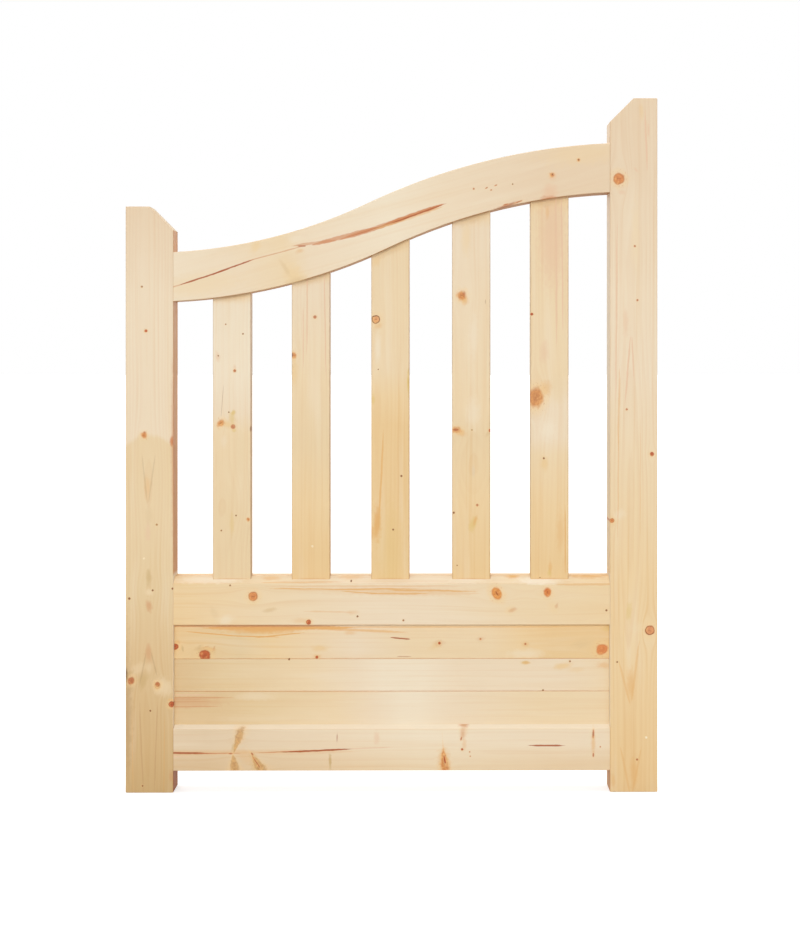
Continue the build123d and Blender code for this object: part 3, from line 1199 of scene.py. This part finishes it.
@dataclass
class Rails:
    """The swan-neck top rail and the bevelled middle and bottom rails, with sizes in millimetres."""

    # The palest, with a long pith streak that the curve cuts through.
    neck: Softwood = Softwood(
        seed=3, pith_depth=34, ring=5, ring_strength=0.1, vein_strength=0.2, low_edge=0.25, underside_painted_shade=1,
        bevel_painted_highlight=0.6, flat_top_painted_shade=0.4, worn=0.1,
        tones=(
            (0, IVORY), (0.2, CREAM), (0.3, STRAW), (0.34, CREAM), (0.5, IVORY), (0.6, CREAM), (0.78, OAT),
            (1, OAT),
        ),
        knots=(
            Knot(276, 218, 3.6, FLARED), Knot(321.5, 243.5, 2.4, FLARED),
            *knots_at(PIN, 1.2, (208, 202), (276.5, 219), (321.5, 244)), Knot(141, 194, 1.6, SPECK),
            Knot(163, 195.5, 1, SPECK, 2.4, 30), Knot(171, 192, 1.1, SPECK, 1.6, 10),
            Knot(179, 200, 1.1, SPECK, 2.4, 25), Knot(196, 167, 1.1, SPECK, 4, 15),
            Knot(219, 172, 1.2, SPECK, 5, 20),
        ),
        patches=(
            Patch(-234, 95, 10, HONEY, 1.6, 60, 0.8), Patch(272, 188, 16, ROSE, 1.3, 80, 0.75),
            Patch(271, 177, 6, RUSSET, 3, 8, 0.7), Patch(200, 166, 3.4, RUST, 8.5, 17, 0.75),
            Patch(277, 215, 8, ROSE, 1.3, 60, 0.8), Patch(-330, 30, 25, STRAW, 4, 8, 0.7),
            Patch(-167, 42, 20, HONEY, 1.5, -65, 0.85), Patch(-183, 57, 5, GOLD, 4.5, -58),
            Patch(-163, 33, 13, GOLD, 1.8, 15, 0.6), Patch(330, 255, 25, HONEY, 4, 5, 0.45),
            Patch(-158, 87, 5, ORANGE, 2, 10, 0.4), Patch(-165, 108, 8, IVORY, 2, 12),
        ),
        streaks=(
            Streak((-420, 12), (-325, 40), 1.4, RUSSET, 0.5, 0.3),
            Streak((-372, 26), (-272, 58.5), 1.7, RUST, 0.9, 0.3),
            Streak((-318, 43.5), (-230, 75), 1.7, RUST, 0.9, 0.3),
            Streak((-262, 66), (-135, 100), 1.3, RUSSET, 0.55, 0.4),
            Streak((-164, 95.4), (-146, 95.6), 1.6, RUST, 0.8, 0.1),
            Streak((-178, 94.5), (-85, 107), 3, RUSSET, 0.55, 0.3),
            Streak((-150, 93.5), (-10, 131.5), 4.2, RUSSET, 0.7, 0.3, 0.4),
            Streak((-100, 102.5), (45, 150.5), 4.4, RUSSET, 0.75, 0.3, 0.4),
            Streak((-45, 119.5), (98, 167), 4.6, ORANGE, 0.6, 0.4, 0.8),
            Streak((-22, 129.5), (102, 172), 3.8, RUSSET, 0.95, 0.4),
            Streak((-85, 107.5), (40, 148.5), 1.3, RUST, 0.4, 0.4),
            Streak((-10, 131), (100, 171), 1.6, RUST, 0.8, 0.4),
        ),
    )
    # Three round knots in a row, and fine resin lines under the bevel.
    middle: Softwood = Softwood(
        seed=4, pith_across=-14, pith_depth=70, flat_top_painted_shade=0.45, bevel_painted_highlight=0.1, mark_depth=22, worn=3,
        tones=(
            (0, AMBER), (0.12, HONEY), (0.25, STRAW), (0.45, CREAM), (0.57, CREAM), (0.75, STRAW),
            (1, HONEY),
        ),
        knots=(
            Knot(-238.5, 49.5, 8), Knot(-143, 5, 4.2, RED), Knot(180.8, 54, 8.2, GLOWING, 1.3, 120),
            Knot(268, 56, 6.4, EMBER, 1.15, 90), *knots_at(PIN, 1.8, (-59, 15), (20, 8), (369.5, 25)),
            *knots_at(PIN, 1.5, (-278, 68.5), (-70, 75)),
        ),
        patches=(
            Patch(204, 25, 9, HONEY, 1.5, 20, 0.8), Patch(208, 26, 4.5, RUSSET, 2.2, 25, 0.4),
            Patch(279, 30, 11, HONEY, 1.3, -40, 0.7), Patch(284, 33, 3.5, RUSSET, 1.8, 70, 0.35),
            Patch(-306, 22, 8, GOLD, 2, 120, 0.3), Patch(-210, 26, 5, GOLD, 3.2, 10, 0.75),
            Patch(-285, 9, 11, IVORY, 1.6, 10), Patch(0, 60, 12, ORANGE, 14, 0, 0.2),
            Patch(209, 82, 5, ORANGE, 3, 0, 0.9), Patch(340, 83, 6, ORANGE, 7.5, 0, 0.8),
            Patch(-322, 77, 7, WHITE, 9.5, 0, 0.55), Patch(255, 75, 8, WHITE, 6, 0, 0.9),
            Patch(130, 76, 6, WHITE, 7, 0, 0.6), Patch(-285, 76, 6, WHITE, 6),
            Patch(-20, 76, 6, ORANGE, 22, 0, 0.1), Patch(-71, 81, 6, ORANGE, 5, 0, 0.45),
            Patch(-209, 79, 4, ORANGE, 6), Patch(-155, 8, 6, ORANGE, 4, 0, 0.3),
            Patch(-68, 22, 5, ORANGE, 3, 0, 0.3),
        ),
        streaks=(
            Streak((-225, 64.5), (-60, 60), 1.3, ORANGE, 0.7, 1.5, 0.7),
            Streak((-120, 61), (60, 62.5), 1.8, ORANGE, 0.8, 1.5, 0.7),
            Streak((-20, 60), (160, 58), 1.8, ORANGE, 0.8, 1.5, 0.7),
            Streak((-95, 59), (-5, 52.5), 1.2, ORANGE, 0.8, 1, 0.6),
            Streak((-45, 53.5), (70, 54.5), 2, ORANGE, 0.75, 1.2, 0.7),
            Streak((-245, 73), (-70, 73.5), 1.6, ORANGE, 0.5, 1.2, 0.8),
            Streak((-240, 62.5), (130, 60), 3.6, ORANGE, 0.3, 1, 0.9),
            Streak((-90, 55), (180, 54), 6, ORANGE, 0.3, 0.8, 0.9),
            Streak((-260, 67), (160, 67), 2.2, ORANGE, 0.35, 0.8, 0.8),
            Streak((270, 69), (420, 70.5), 3, ORANGE, 0.5, 0.8, 0.8),
            Streak((-160, 24), (-60, 22), 2.2, ORANGE, 0.4, 1, 0.9),
        ),
    )
    # A whorl of cut branches, and pith streaks in line.
    bottom: Softwood = Softwood(
        seed=5, pith_across=-8, pith_depth=30, ring=5, ring_strength=0.2, low_edge=0.7, bevel_painted_highlight=0.5,
        worn=3,
        tones=(
            (0, DUN), (0.15, DUN), (0.42, CREAM), (0.55, IVORY), (0.8, CREAM), (0.9, CREAM), (0.96, HONEY),
            (1, AMBER),
        ),
        knots=(
            Knot(-265, 51.5, 4.8, BRANCH, 4.7, 72, 0.8), Knot(-271, 11, 6.2, BRANCH, 2.6, -82, 0.65),
            Knot(-231, 12, 6.2, BRANCH, 3.2, -58, 0.85), Knot(-233, 15, 1, SPECK, 13, -56),
            Knot(-240, 29, 1.6, SPECK, 2, -56), Knot(-277, 29.5, 1.2, SPECK, 3),
            Knot(90, 17.5, 5.2, FLARED, 4.5, -86, 0.7), Knot(91, 19, 1.4, RED, 5, -80, 0.4),
            Knot(119.5, 55, 1.3, SPECK, 2.4, 75), Knot(347, 62.5, 1.8, SPECK, 4, 88),
            Knot(347, 26.5, 1.5, SPECK, 2.4, 88), Knot(121, 36.5, 2, RED),
            *knots_at(SPECK, 1.2, (135, 24.5), (359, 40.5), (134, 32)),
        ),
        patches=(
            Patch(124, 77, 4, RUSSET, 2.6, 0, 0.7), Patch(-106, 16, 3.4, DEEP, 4.6, 92, 1),
            Patch(123, 66, 9, ORANGE, 1.8, 86, 0.35), Patch(-232, 6, 13, DEEP, 1.3, -60, 0.55),
            Patch(-236, 21, 8, DEEP, 2.2, -58), Patch(89, 18, 13, ORANGE, 2, -90, 0.55),
            Patch(-380, 25, 3, ROSE, 18, -1), Patch(-94, 57, 1.4, RUST, 7, 88, 0.6),
            Patch(122, 62, 5, RUSSET, 2.4, 86, 0.35), Patch(347, 46.5, 5, ORANGE, 5, 90),
            Patch(125, 45, 5, ORANGE, 2.4, 88, 0.35), Patch(97, 11, 6, ORANGE, 2, -80),
            Patch(-250, 24, 14, ORANGE, 1.8, -30, 0.25), Patch(-272, 40, 5, DEEP, 2.2, 75, 0.7),
            Patch(-26, 56, 7, ROSE, 2.2, 88),
        ),
        streaks=(
            Streak((-520, 30.5), (-20, 33), 7, ORANGE, 0.28, 0.5, 0.9),
            Streak((-450, 31.5), (-292, 30), 2.2), Streak((-345, 30.5), (-252, 30), 1.2, RUSSET, 0.7),
            Streak((-250, 30.5), (-60, 37.5), 1.2, RUSSET, 0.8), Streak((-200, 31.5), (-56, 38), 2),
            Streak((-80, 37), (10, 41), 1.2, ROSE, 0.7), Streak((230, 43), (304, 42.5), 2),
        ),
    )

    def dress(self, dresser: Dresser) -> None:
        """Dresses the three rails.

        Args:
            dresser: What gives the pieces their materials.
        """
        dresser.timber("top_rail", Grain.NECK, self.neck)
        dresser.timber("middle_rail", Grain.LEVEL, self.middle)
        dresser.timber("bottom_rail", Grain.LEVEL, self.bottom)


@dataclass
class Slats:
    """The five upright slats and the brads that hold them, with sizes in millimetres."""

    # Two flared knots, and paler in its upper half.
    first: Softwood = Softwood(
        seed=11, pith_across=16, pith_depth=44, ring_strength=0.25, right_side_painted_shade=0.35, worn=3,
        tones=((0.25, WHEAT), (0.5, STRAW), (0.57, CREAM), (0.7, IVORY)),
        crests=(Crest(136, 8, 50),),
        knots=(
            Knot(-19.2, 280.8, 4.8, FLARED, 1.4, 45), Knot(2, 275, 3.8, SPECK), Knot(28, 115, 3, FLARED),
            Knot(4.6, 371.3, 2.3, DULL), *knots_at(PIN, 1.2, (-23.6, 397.2), (-10.9, 451.5), (-5.6, 299.8)),
            *knots_at(PIN, 1.4, (19, 435), (-18.5, 95.5), (7, 121.5)),
        ),
        patches=(
            Patch(0, 289, 7, RESIN, 2, 95), Patch(-8, 279, 9, AMBER, 1.7, -15, 0.8),
            Patch(2, 299, 5, RESIN, 1.3, 40, 0.7), Patch(4, 268, 4, RESIN, 1.2, 0, 0.6),
            Patch(-24.5, 396, 5, ROSE, 2.2, 100, 0.55), Patch(5, 377, 3, ROSE, 2.2, 95),
            Patch(0, 106, 6, RESIN, 4, 90, 0.3), Patch(32.5, 271, 2.5, BROWN, 2.4, 90, 0.7),
            Patch(14, 230, 16, WHEAT, 4, 90, 0.7), Patch(-14, 250, 7, CREAM, 2.5, 90),
        ),
        streaks=(Streak((-14, 352), (-19.5, 286), 0.6, BROWN, 0.4),),
    )
    # Rosy lines, and a half knot on its left edge.
    second: Softwood = Softwood(
        seed=12, pith_across=-22, pith_depth=40, ring_strength=0.25, right_side_painted_shade=0.35, worn=3,
        tones=((0.1, AMBER), (0.25, HONEY), (0.45, WHEAT), (0.63, STRAW), (0.9, CREAM)),
        knots=(
            Knot(7, 464, 2.8, SPECK), Knot(-30.5, 398, 5, FLARED), Knot(-33.4, 398.5, 2.2, PIN, 1.8, 90),
            *knots_at(PALE, 2, (2.5, 68)),
        ),
        patches=(Patch(-29, 370, 7, AMBER, 5, 90, 0.7),),
        streaks=(
            Streak((-5.5, 576), (-7.5, 386), 1.6, ROSE, 0.8),
            Streak((22.5, 576), (26.5, 336), 1.4, ROSE, 0.8),
            Streak((-13.5, 496), (-12.5, 366), 1.2, ROSE, 0.7),
        ),
    )
    # A hooped knot in its upper half, and a resin pocket low on its left.
    third: Softwood = Softwood(
        seed=13, pith_across=24, pith_depth=36, ring_strength=0.3, right_side_painted_shade=0.35, worn=3,
        tones=((0.2, AMBER), (0.45, AMBER), (0.53, HONEY), (0.6, STRAW)),
        knots=(
            Knot(-25.3, 460, 7.3, HOOPED), *knots_at(PIN, 1.8, (4.6, 97), (19, 189.5)),
            Knot(-21, 373.7, 1, PIN),
        ),
        patches=(
            Patch(-21.5, 410, 7, IVORY, 5.5, 90, 0.6), Patch(-22.5, 108, 8, ORANGE, 5, 88, 0.9),
            Patch(0, 50, 30, RESIN, 4, 90, 0.25), Patch(31, 352, 3, RESIN, 9, 90, 0.8),
            Patch(-30, 322, 4, RESIN, 3, 90), Patch(-31, 92, 4, ORANGE, 4, 90, 0.6),
            Patch(-20, 449, 6, ORANGE, 1.5, 30, 0.4), Patch(-24, 560, 8, AMBER, 1.8, 60, 0.6),
        ),
        streaks=(Streak((-11, 286), (-21, 86), 2, ORANGE, 0.7),),
    )
    # A flared knot near its head and an eye of grain below.
    fourth: Softwood = Softwood(
        seed=14, pith_across=-4, pith_depth=56, ring_strength=0.25, right_side_painted_shade=0.35, worn=3,
        tones=((0.05, AMBER), (0.22, HONEY), (0.39, WHEAT), (0.46, STRAW), (0.9, CREAM)),
        crests=(Crest(206, 9, 60),),
        knots=(
            Knot(-16.4, 501, 7.4, FLARED), Knot(-26.7, 269, 4.6, FLARED, 1.9),
            Knot(-27, 269.5, 2.2, DULL, 2.4), Knot(33, 268, 3, RED), Knot(10.2, 139, 2.2, SPECK),
            Knot(-30.4, 126, 2, PIN), *knots_at(PIN, 1.2, (1.2, 269), (-24.5, 35)),
        ),
        patches=(
            Patch(-13, 495, 8, ORANGE, 1.5, -55, 0.8), Patch(4, 433, 10, IVORY, 5, 90),
            Patch(3, 112, 11, AMBER, 1.8, 85, 0.6), Patch(3, 106, 8, RESIN, 2.2, 74, 0.55),
            Patch(7, 113, 3.5, ORANGE, 3, 74, 0.7), Patch(4, 198, 4, DUN, 3, 90, 0.6),
            Patch(-20, 266, 9, ORANGE, 1.7, -25, 0.6), Patch(28, 262, 4, GOLD, 2, 60, 0.7),
            Patch(24.5, 491, 1, BROWN, 5, 90, 0.4), Patch(3, 298, 16, IVORY, 2.2, 90),
            Patch(-9, 600, 10, HONEY, 4, 90),
        ),
    )
    # The largest knot of the row, with rosy lines above it and an orange one below.
    fifth: Softwood = Softwood(
        seed=15, pith_across=-26, pith_depth=44, ring_strength=0.25, worn=3,
        tones=((0.05, AMBER), (0.2, HONEY), (0.33, STRAW), (0.37, CREAM), (0.46, CREAM), (0.53, STRAW)),
        knots=(
            Knot(-23.9, 325, 12.8, CLOUDED, 1.3, 90), Knot(-30.6, 469, 2.4, RED), Knot(-9.9, 220, 1.7, PIN),
            Knot(-16.5, 14, 0.9, PIN),
        ),
        patches=(
            Patch(-9.5, 403, 10, ROSE, 2.6, 90), Patch(-7, 340, 15, ORANGE, 1.3, 60),
            Patch(4, 600, 30, ROSE, 3.6, 90, 0.7), Patch(-3.5, 645, 5, ORANGE, 3, 90, 0.35),
            Patch(-3, 270, 17, IVORY, 1.4, 90, 0.7), Patch(-9, 211, 10, AMBER, 1.6, 90, 0.8),
            Patch(19, 92, 9, ORANGE, 5, 90, 0.35), Patch(14, 340, 18, WHEAT, 2, 90, 0.6),
            Patch(1.5, 31, 4, ORANGE, 4, 90), Patch(0, 22, 5, RESIN, 1.5, 90),
        ),
        streaks=(
            Streak((11, 720), (12.5, 386), 2, ROSE, 0.8), Streak((20.5, 720), (23.5, 406), 1.6, ROSE, 0.8),
            Streak((27, 150), (27, 10), 1.4, ORANGE, 0.8),
        ),
    )
    # Painted shade on each slat: a contact shadow along the foot and under the head, where it meets the
    # rails, and darker lines down both long edges, the right one deeper.
    foot_shadow_line: Patch = Patch(0, 12.2, 1.5, RUSSET, 26, 0, 0.3)
    right_shade_line: Patch = Patch(32.6, 300, 1.7, BROWN, 400, 90, 0.35)
    left_shade_line: Patch = Patch(-32.6, 300, 1.5, BROWN, 400, 90, 0.15)
    head_shadow_line: Patch = Patch(0, 0, 10, DEEP, 5, 0, 0.4)
    # The height and slope of the neck's lower edge over each slat.
    heads: tuple[tuple[float, float], ...] = (
        (498.7, 8.3), (528.1, 16.4), (579.9, 23.2), (633.5, 17.3), (663.8, 9.1),
    )
    # Where along a slat the painted shade at its head, under the neck, starts and is full.
    head_painted_shade: tuple[float, float] = (0.93, 0.975)
    brads: BradSteel = BradSteel()

    def dress(self, dresser: Dresser) -> None:
        """Dresses the slats and their brads.

        Args:
            dresser: What gives the pieces their materials.
        """
        woods = (self.first, self.second, self.third, self.fourth, self.fifth)
        start, full = self.head_painted_shade
        for number, (wood, (head, slope)) in enumerate(zip(woods, self.heads), start=1):
            # Each slat's shades end in painted shade at its head, and its patches gain the painted shadow
            # and shade lines.
            tones = (*wood.tones, (start, wood.tones[-1][1]), (full, HONEY))
            head_shadow_line = replace(self.head_shadow_line, z=head, turn=slope)
            patches = (*wood.patches, self.foot_shadow_line, self.right_shade_line, self.left_shade_line, head_shadow_line)
            dresser.timber(f"slat_{number}", Grain.UPRIGHT, replace(wood, tones=tones, patches=patches))
        steel = self.brads.make()
        for row in ("top", "middle"):
            dresser.piece(f"slat_brads_{row}", steel)


# A line along a board: its half width at a joint, how far it reaches to each side, and its softness.
JOINT_LINE = 1.4
BOARD_REACH = 700.0
LINE_SOFTNESS = 0.8


def board_line(height: float, half_width: float, tone: Tone, strength: float) -> Streak:
    """Makes a straight line along a whole board at a height above its foot."""
    start, end = (-BOARD_REACH, height), (BOARD_REACH, height)
    return Streak(start, end, half_width, tone, strength, sway=0.0, soft=LINE_SOFTNESS)


@dataclass
class BoardPanel:
    """The three tongued boards between the lower rails, with sizes in millimetres."""

    # The knottiest, with a resin band along its upper edge and a painted shadow under the middle rail.
    top: Softwood = Softwood(
        seed=21, pith_across=-18, pith_depth=50, ring_strength=0.25,
        tones=(
            (0, AMBER), (0.16, FAWN), (0.23, HONEY), (0.42, CREAM), (0.55, STRAW), (0.72, STRAW),
            (0.79, HONEY), (0.86, AMBER), (1, AMBER),
        ),
        knots=(
            Knot(-374, 21.5, 5.5, RED), Knot(-322.8, 6.5, 9.4, RED), Knot(-129.5, 3, 2.6, RED),
            Knot(82, 27, 2.5, RED), Knot(363, 16, 8.7, EVEN, 1.15, 20),
            *knots_at(SPECK, 1.9, (153, 34), (230.5, 25.5)), *knots_at(PIN, 1.6, (-177, 0)),
        ),
        patches=(
            Patch(-322, 11, 14, DEEP, 1.5, 0, 0.45), Patch(-331, 17, 7, BROWN, 1.3, 0, 0.2),
            Patch(-125, 18.5, 8, AMBER, 2.3, 0, 0.8), Patch(-226, 50, 9, ORANGE, 8, 0, 0.85),
            Patch(-307, 18.5, 2.2, RUSSET, 2.6, 70), Patch(-320, 21, 2, RUSSET, 4, 15, 0.4),
            Patch(-361, 17, 2.5, DEEP, 3, 100, 0.7), Patch(-371, 28, 5, ORANGE, 1.5, 60, 0.6),
            Patch(-129, 4, 5, ORANGE, 2), Patch(76, 23, 8, AMBER, 1.8, 25, 0.7),
            Patch(330, 27, 12, GOLD, 2, 20), Patch(82, 27, 7, RUSSET, 1.6, 0, 0.25),
            Patch(153, 34, 6, RUSSET, 1.5, 0, 0.25), Patch(231, 25, 6, ORANGE, 1.5, 0, 0.4),
            Patch(340, 34, 16, AMBER, 2.2, 0, 0.6), Patch(376, 52, 8, RESIN, 2.4, 0, 0.4),
            Patch(330, 4, 6, AMBER, 6), Patch(-72, 45, 5, ORANGE, 2.8, 0, 0.4), Patch(232, 9, 10, IVORY, 4),
            Patch(-316, 17, 6, ORANGE, 2.4),
        ),
        streaks=(
            Streak((-345, 54), (-110, 52), 5.4, ORANGE, 0.95, 0.5, 0.8),
            Streak((-220, 53.5), (-50, 53.5), 4, ORANGE, 0.9, 0.5, 0.8),
            Streak((-160, 54), (40, 45), 3.6, ORANGE, 0.6, 0.5, 0.8),
            Streak((-300, 54.5), (390, 55), 2.2, ORANGE, 0.45, 0.5, 0.8),
            Streak((-365, 48.5), (-255, 38.5), 1.3, ORANGE, 0.95, 0.6),
            Streak((-295, 40.5), (-185, 37.5), 1.3, ORANGE, 0.95, 0.6),
            Streak((-245, 35.5), (-143, 46.5), 1.3, ORANGE, 0.95, 0.6),
            # Painted shadow under the middle rail: the RUSSET line at 56.8 mm and the BROWN line at 58.4 mm.
            Streak((-430, 56.8), (-60, 56.8), 2.6, RUSSET, 0.6, 0, 0.6),
            Streak((-6, 37.3), (37, 33.2), 1.9, RUST, 0.9, 1, 0.7), Streak((6, 4), (36, 4), 1, RUST, 0.5),
            board_line(58.4, 2.6, BROWN, 0.25), board_line(0, JOINT_LINE, RUSSET, 0.6),
        ),
    )
    # Nearly clear.
    middle: Softwood = Softwood(
        seed=22, pith_across=10, pith_depth=70, ring_strength=0.2,
        tones=(
            (0.04, GOLD), (0.12, FAWN), (0.22, WHEAT), (0.31, STRAW), (0.42, CREAM), (0.48, IVORY),
            (0.57, IVORY), (0.65, CREAM), (0.88, CREAM), (1, STRAW),
        ),
        knots=knots_at(PIN, 1.8, (307.5, 51.5), (261, 1.5), (-177.5, 55.5)),
        patches=(
            Patch(230, 49.5, 4.5, RESIN, 2.4, 0, 0.6), Patch(366, 45, 7, ORANGE, 2.6, 0, 0.45),
            Patch(231, 49.5, 3.5, ORANGE, 2.4, 0, 0.6), Patch(295, 43.5, 7, AMBER, 3.4, 8, 0.85),
            Patch(319, 37, 6, AMBER, 3, 0, 0.4),
        ),
        streaks=(board_line(0, JOINT_LINE, RUSSET, 0.8),),
    )
    # Clear, with fine resin lines at its latch end.
    bottom: Softwood = Softwood(
        seed=23, pith_across=-6, pith_depth=66, ring_strength=0.2,
        tones=(
            (0.1, GOLD), (0.2, FAWN), (0.28, WHEAT), (0.37, STRAW), (0.46, CREAM), (0.52, IVORY),
            (0.56, IVORY), (0.63, CREAM), (0.84, STRAW), (1, STRAW),
        ),
        patches=(
            Patch(-345, 30, 30, GOLD, 3, 0, 0.7), Patch(-345, 44, 12, RUSSET, 5.5, 0, 0.3),
            Patch(-236, 54, 9, CREAM, 5, 0, 0.45),
        ),
        streaks=(
            Streak((-440, 57), (-290, 56), 1.4, ROSE, 0.7),
            Streak((-440, 52), (-260, 51), 2, RUSSET, 0.5, 1, 0.7),
            Streak((-440, 48.5), (-310, 48), 0.9, RUSSET, 0.35),
            Streak((-440, 45), (-300, 44.5), 1, RUSSET, 0.4),
            Streak((-440, 36), (-285, 36), 1.3, RUSSET, 0.5),
        ),
    )

    def dress(self, dresser: Dresser) -> None:
        """Dresses the boards, from the top."""
        for place, wood in (("top", self.top), ("middle", self.middle), ("bottom", self.bottom)):
            dresser.timber(f"panel_board_{place}", Grain.LEVEL, wood)


@dataclass
class Wedges:
    """The pairs of wedges in the ends of the through tenons, with sizes in millimetres."""

    rails: tuple[str, ...] = ("bottom", "middle", "top")
    stiles: tuple[str, ...] = ("latch", "hanging")
    # Close-grained, and a shade deeper than the tenons.
    wood: Softwood = Softwood(
        seed=31, pith_across=24, pith_depth=30, ring=1.8, ring_strength=0.6, worn=1,
        tones=((0, DEEP), (1, GOLD)),
    )

    def dress(self, dresser: Dresser) -> None:
        """Dresses every pair, each with a wood of its own.

        Args:
            dresser: What gives the pieces their materials.
        """
        pairs = [f"wedges_{rail}_{stile}" for rail in self.rails for stile in self.stiles]
        for number, pair in enumerate(pairs):
            dresser.timber(pair, Grain.LEVEL, replace(self.wood, seed=self.wood.seed + number))


@dataclass(frozen=True)
class Lamp:
    """A distant soft lamp: which way it stands from the gate, and its strength."""

    name: str
    place: tuple[float, float, float]
    strength: float


@dataclass
class Studio:
    """The floor, the lights and the camera, in metres and degrees, with the picture in pixels."""

    eye: tuple[float, float, float] = (0.0699, -2.5425, 0.7784)
    pitch: float = 90.0
    yaw: float = -0.3
    focal_pixels: float = 1464.5
    picture: tuple[int, int] = (800, 927)
    principal: tuple[float, float] = (440.05, 340.0)
    sensor: float = 36.0
    softness: float = 28.0
    lamps: tuple[Lamp, ...] = (
        Lamp("key", (-0.4, -4.6, 1.75), 1.23), Lamp("fill", (1.4, -4.6, 0.6), 0.3),
        Lamp("top", (0.0, 0.2, 5.0), 1.35), Lamp("back_key", (-2.0, 4.4, 1.6), 0.95),
        Lamp("back_fill", (2.0, 4.4, 0.8), 0.6),
    )
    ambient: float = 0.4
    glow: Colour = (1.0, 1.0, 1.0)
    floor_reach: float = 30.0
    floor_grey: Colour = (0.62, 0.62, 0.62)
    floor_glow: float = 0.6
    floor_roughness: float = 0.9
    floor_specular: float = 0.1

    def set_camera(self) -> None:
        """Places the camera nearly square to the gate, shifted to the photograph's framing."""
        data = bpy.data.cameras.new("camera")
        wide, high = self.picture
        longest = max(wide, high)
        data.sensor_width = self.sensor
        data.lens = self.focal_pixels * self.sensor / longest
        data.shift_x = (wide / 2 - self.principal[0]) / longest
        data.shift_y = (self.principal[1] - high / 2) / longest
        camera = bpy.data.objects.new("camera", data)
        camera.location = self.eye
        camera.rotation_euler = (math.radians(self.pitch), 0, math.radians(self.yaw))
        bpy.context.scene.collection.objects.link(camera)
        bpy.context.scene.camera = camera

    def add_lamp(self, lamp: Lamp) -> None:
        """Adds one lamp, pointed at the gate.

        Args:
            lamp: Its name, place and strength.
        """
        data = bpy.data.lights.new(lamp.name, "SUN")
        data.angle = math.radians(self.softness)
        data.energy = lamp.strength
        piece = bpy.data.objects.new(lamp.name, data)
        piece.location = lamp.place
        piece.rotation_euler = (-Vector(lamp.place)).to_track_quat("-Z", "Y").to_euler()
        bpy.context.scene.collection.objects.link(piece)

    def add_lights(self) -> None:
        """Adds the lamps, in front and behind, and the white surroundings."""
        for lamp in self.lamps:
            self.add_lamp(lamp)
        world = bpy.data.worlds.new("studio")
        bpy.context.scene.world = world
        world.use_nodes = True
        background = next(n for n in world.node_tree.nodes if n.type == "BACKGROUND")
        plug(background.inputs["Color"], self.glow)
        seen = camera_sees(world.node_tree)
        plug(background.inputs["Strength"], seen * (1.0 - self.ambient) + self.ambient)

    def add_floor(self) -> None:
        """Lays a wide white floor that keeps the gate's shadow."""
        reach = self.floor_reach
        mesh = bpy.data.meshes.new("floor")
        corners = [(-reach, -reach, 0), (reach, -reach, 0), (reach, reach, 0), (-reach, reach, 0)]
        mesh.from_pydata(corners, [], [(0, 1, 2, 3)])
        floor = bpy.data.objects.new("floor", mesh)
        bpy.context.scene.collection.objects.link(floor)
        material, shader = new_material("floor_white")
        plug(shader.inputs["Base Color"], self.floor_grey)
        plug(shader.inputs["Roughness"], self.floor_roughness)
        plug(shader.inputs["Specular IOR Level"], self.floor_specular)
        plug(shader.inputs["Emission Color"], self.glow)
        plug(shader.inputs["Emission Strength"], camera_sees(material.node_tree) * self.floor_glow)
        mesh.materials.append(material)

    def set_up(self) -> None:
        """Builds the whole studio."""
        self.set_camera()
        self.add_lights()
        self.add_floor()
        bpy.context.scene.view_settings.view_transform = "Standard"
        LOG.info("set up the studio")


def main() -> None:
    """Loads the frame, dresses the gate and sets up the studio."""
    logging.basicConfig(level=logging.INFO)
    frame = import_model()
    dresser = Dresser(frame["nodes"], MarkGroups())
    for part in (Stiles(), Rails(), Slats(), BoardPanel(), Wedges()):
        part.dress(dresser)
    Studio().set_up()


if __name__ == "__main__":
    main()
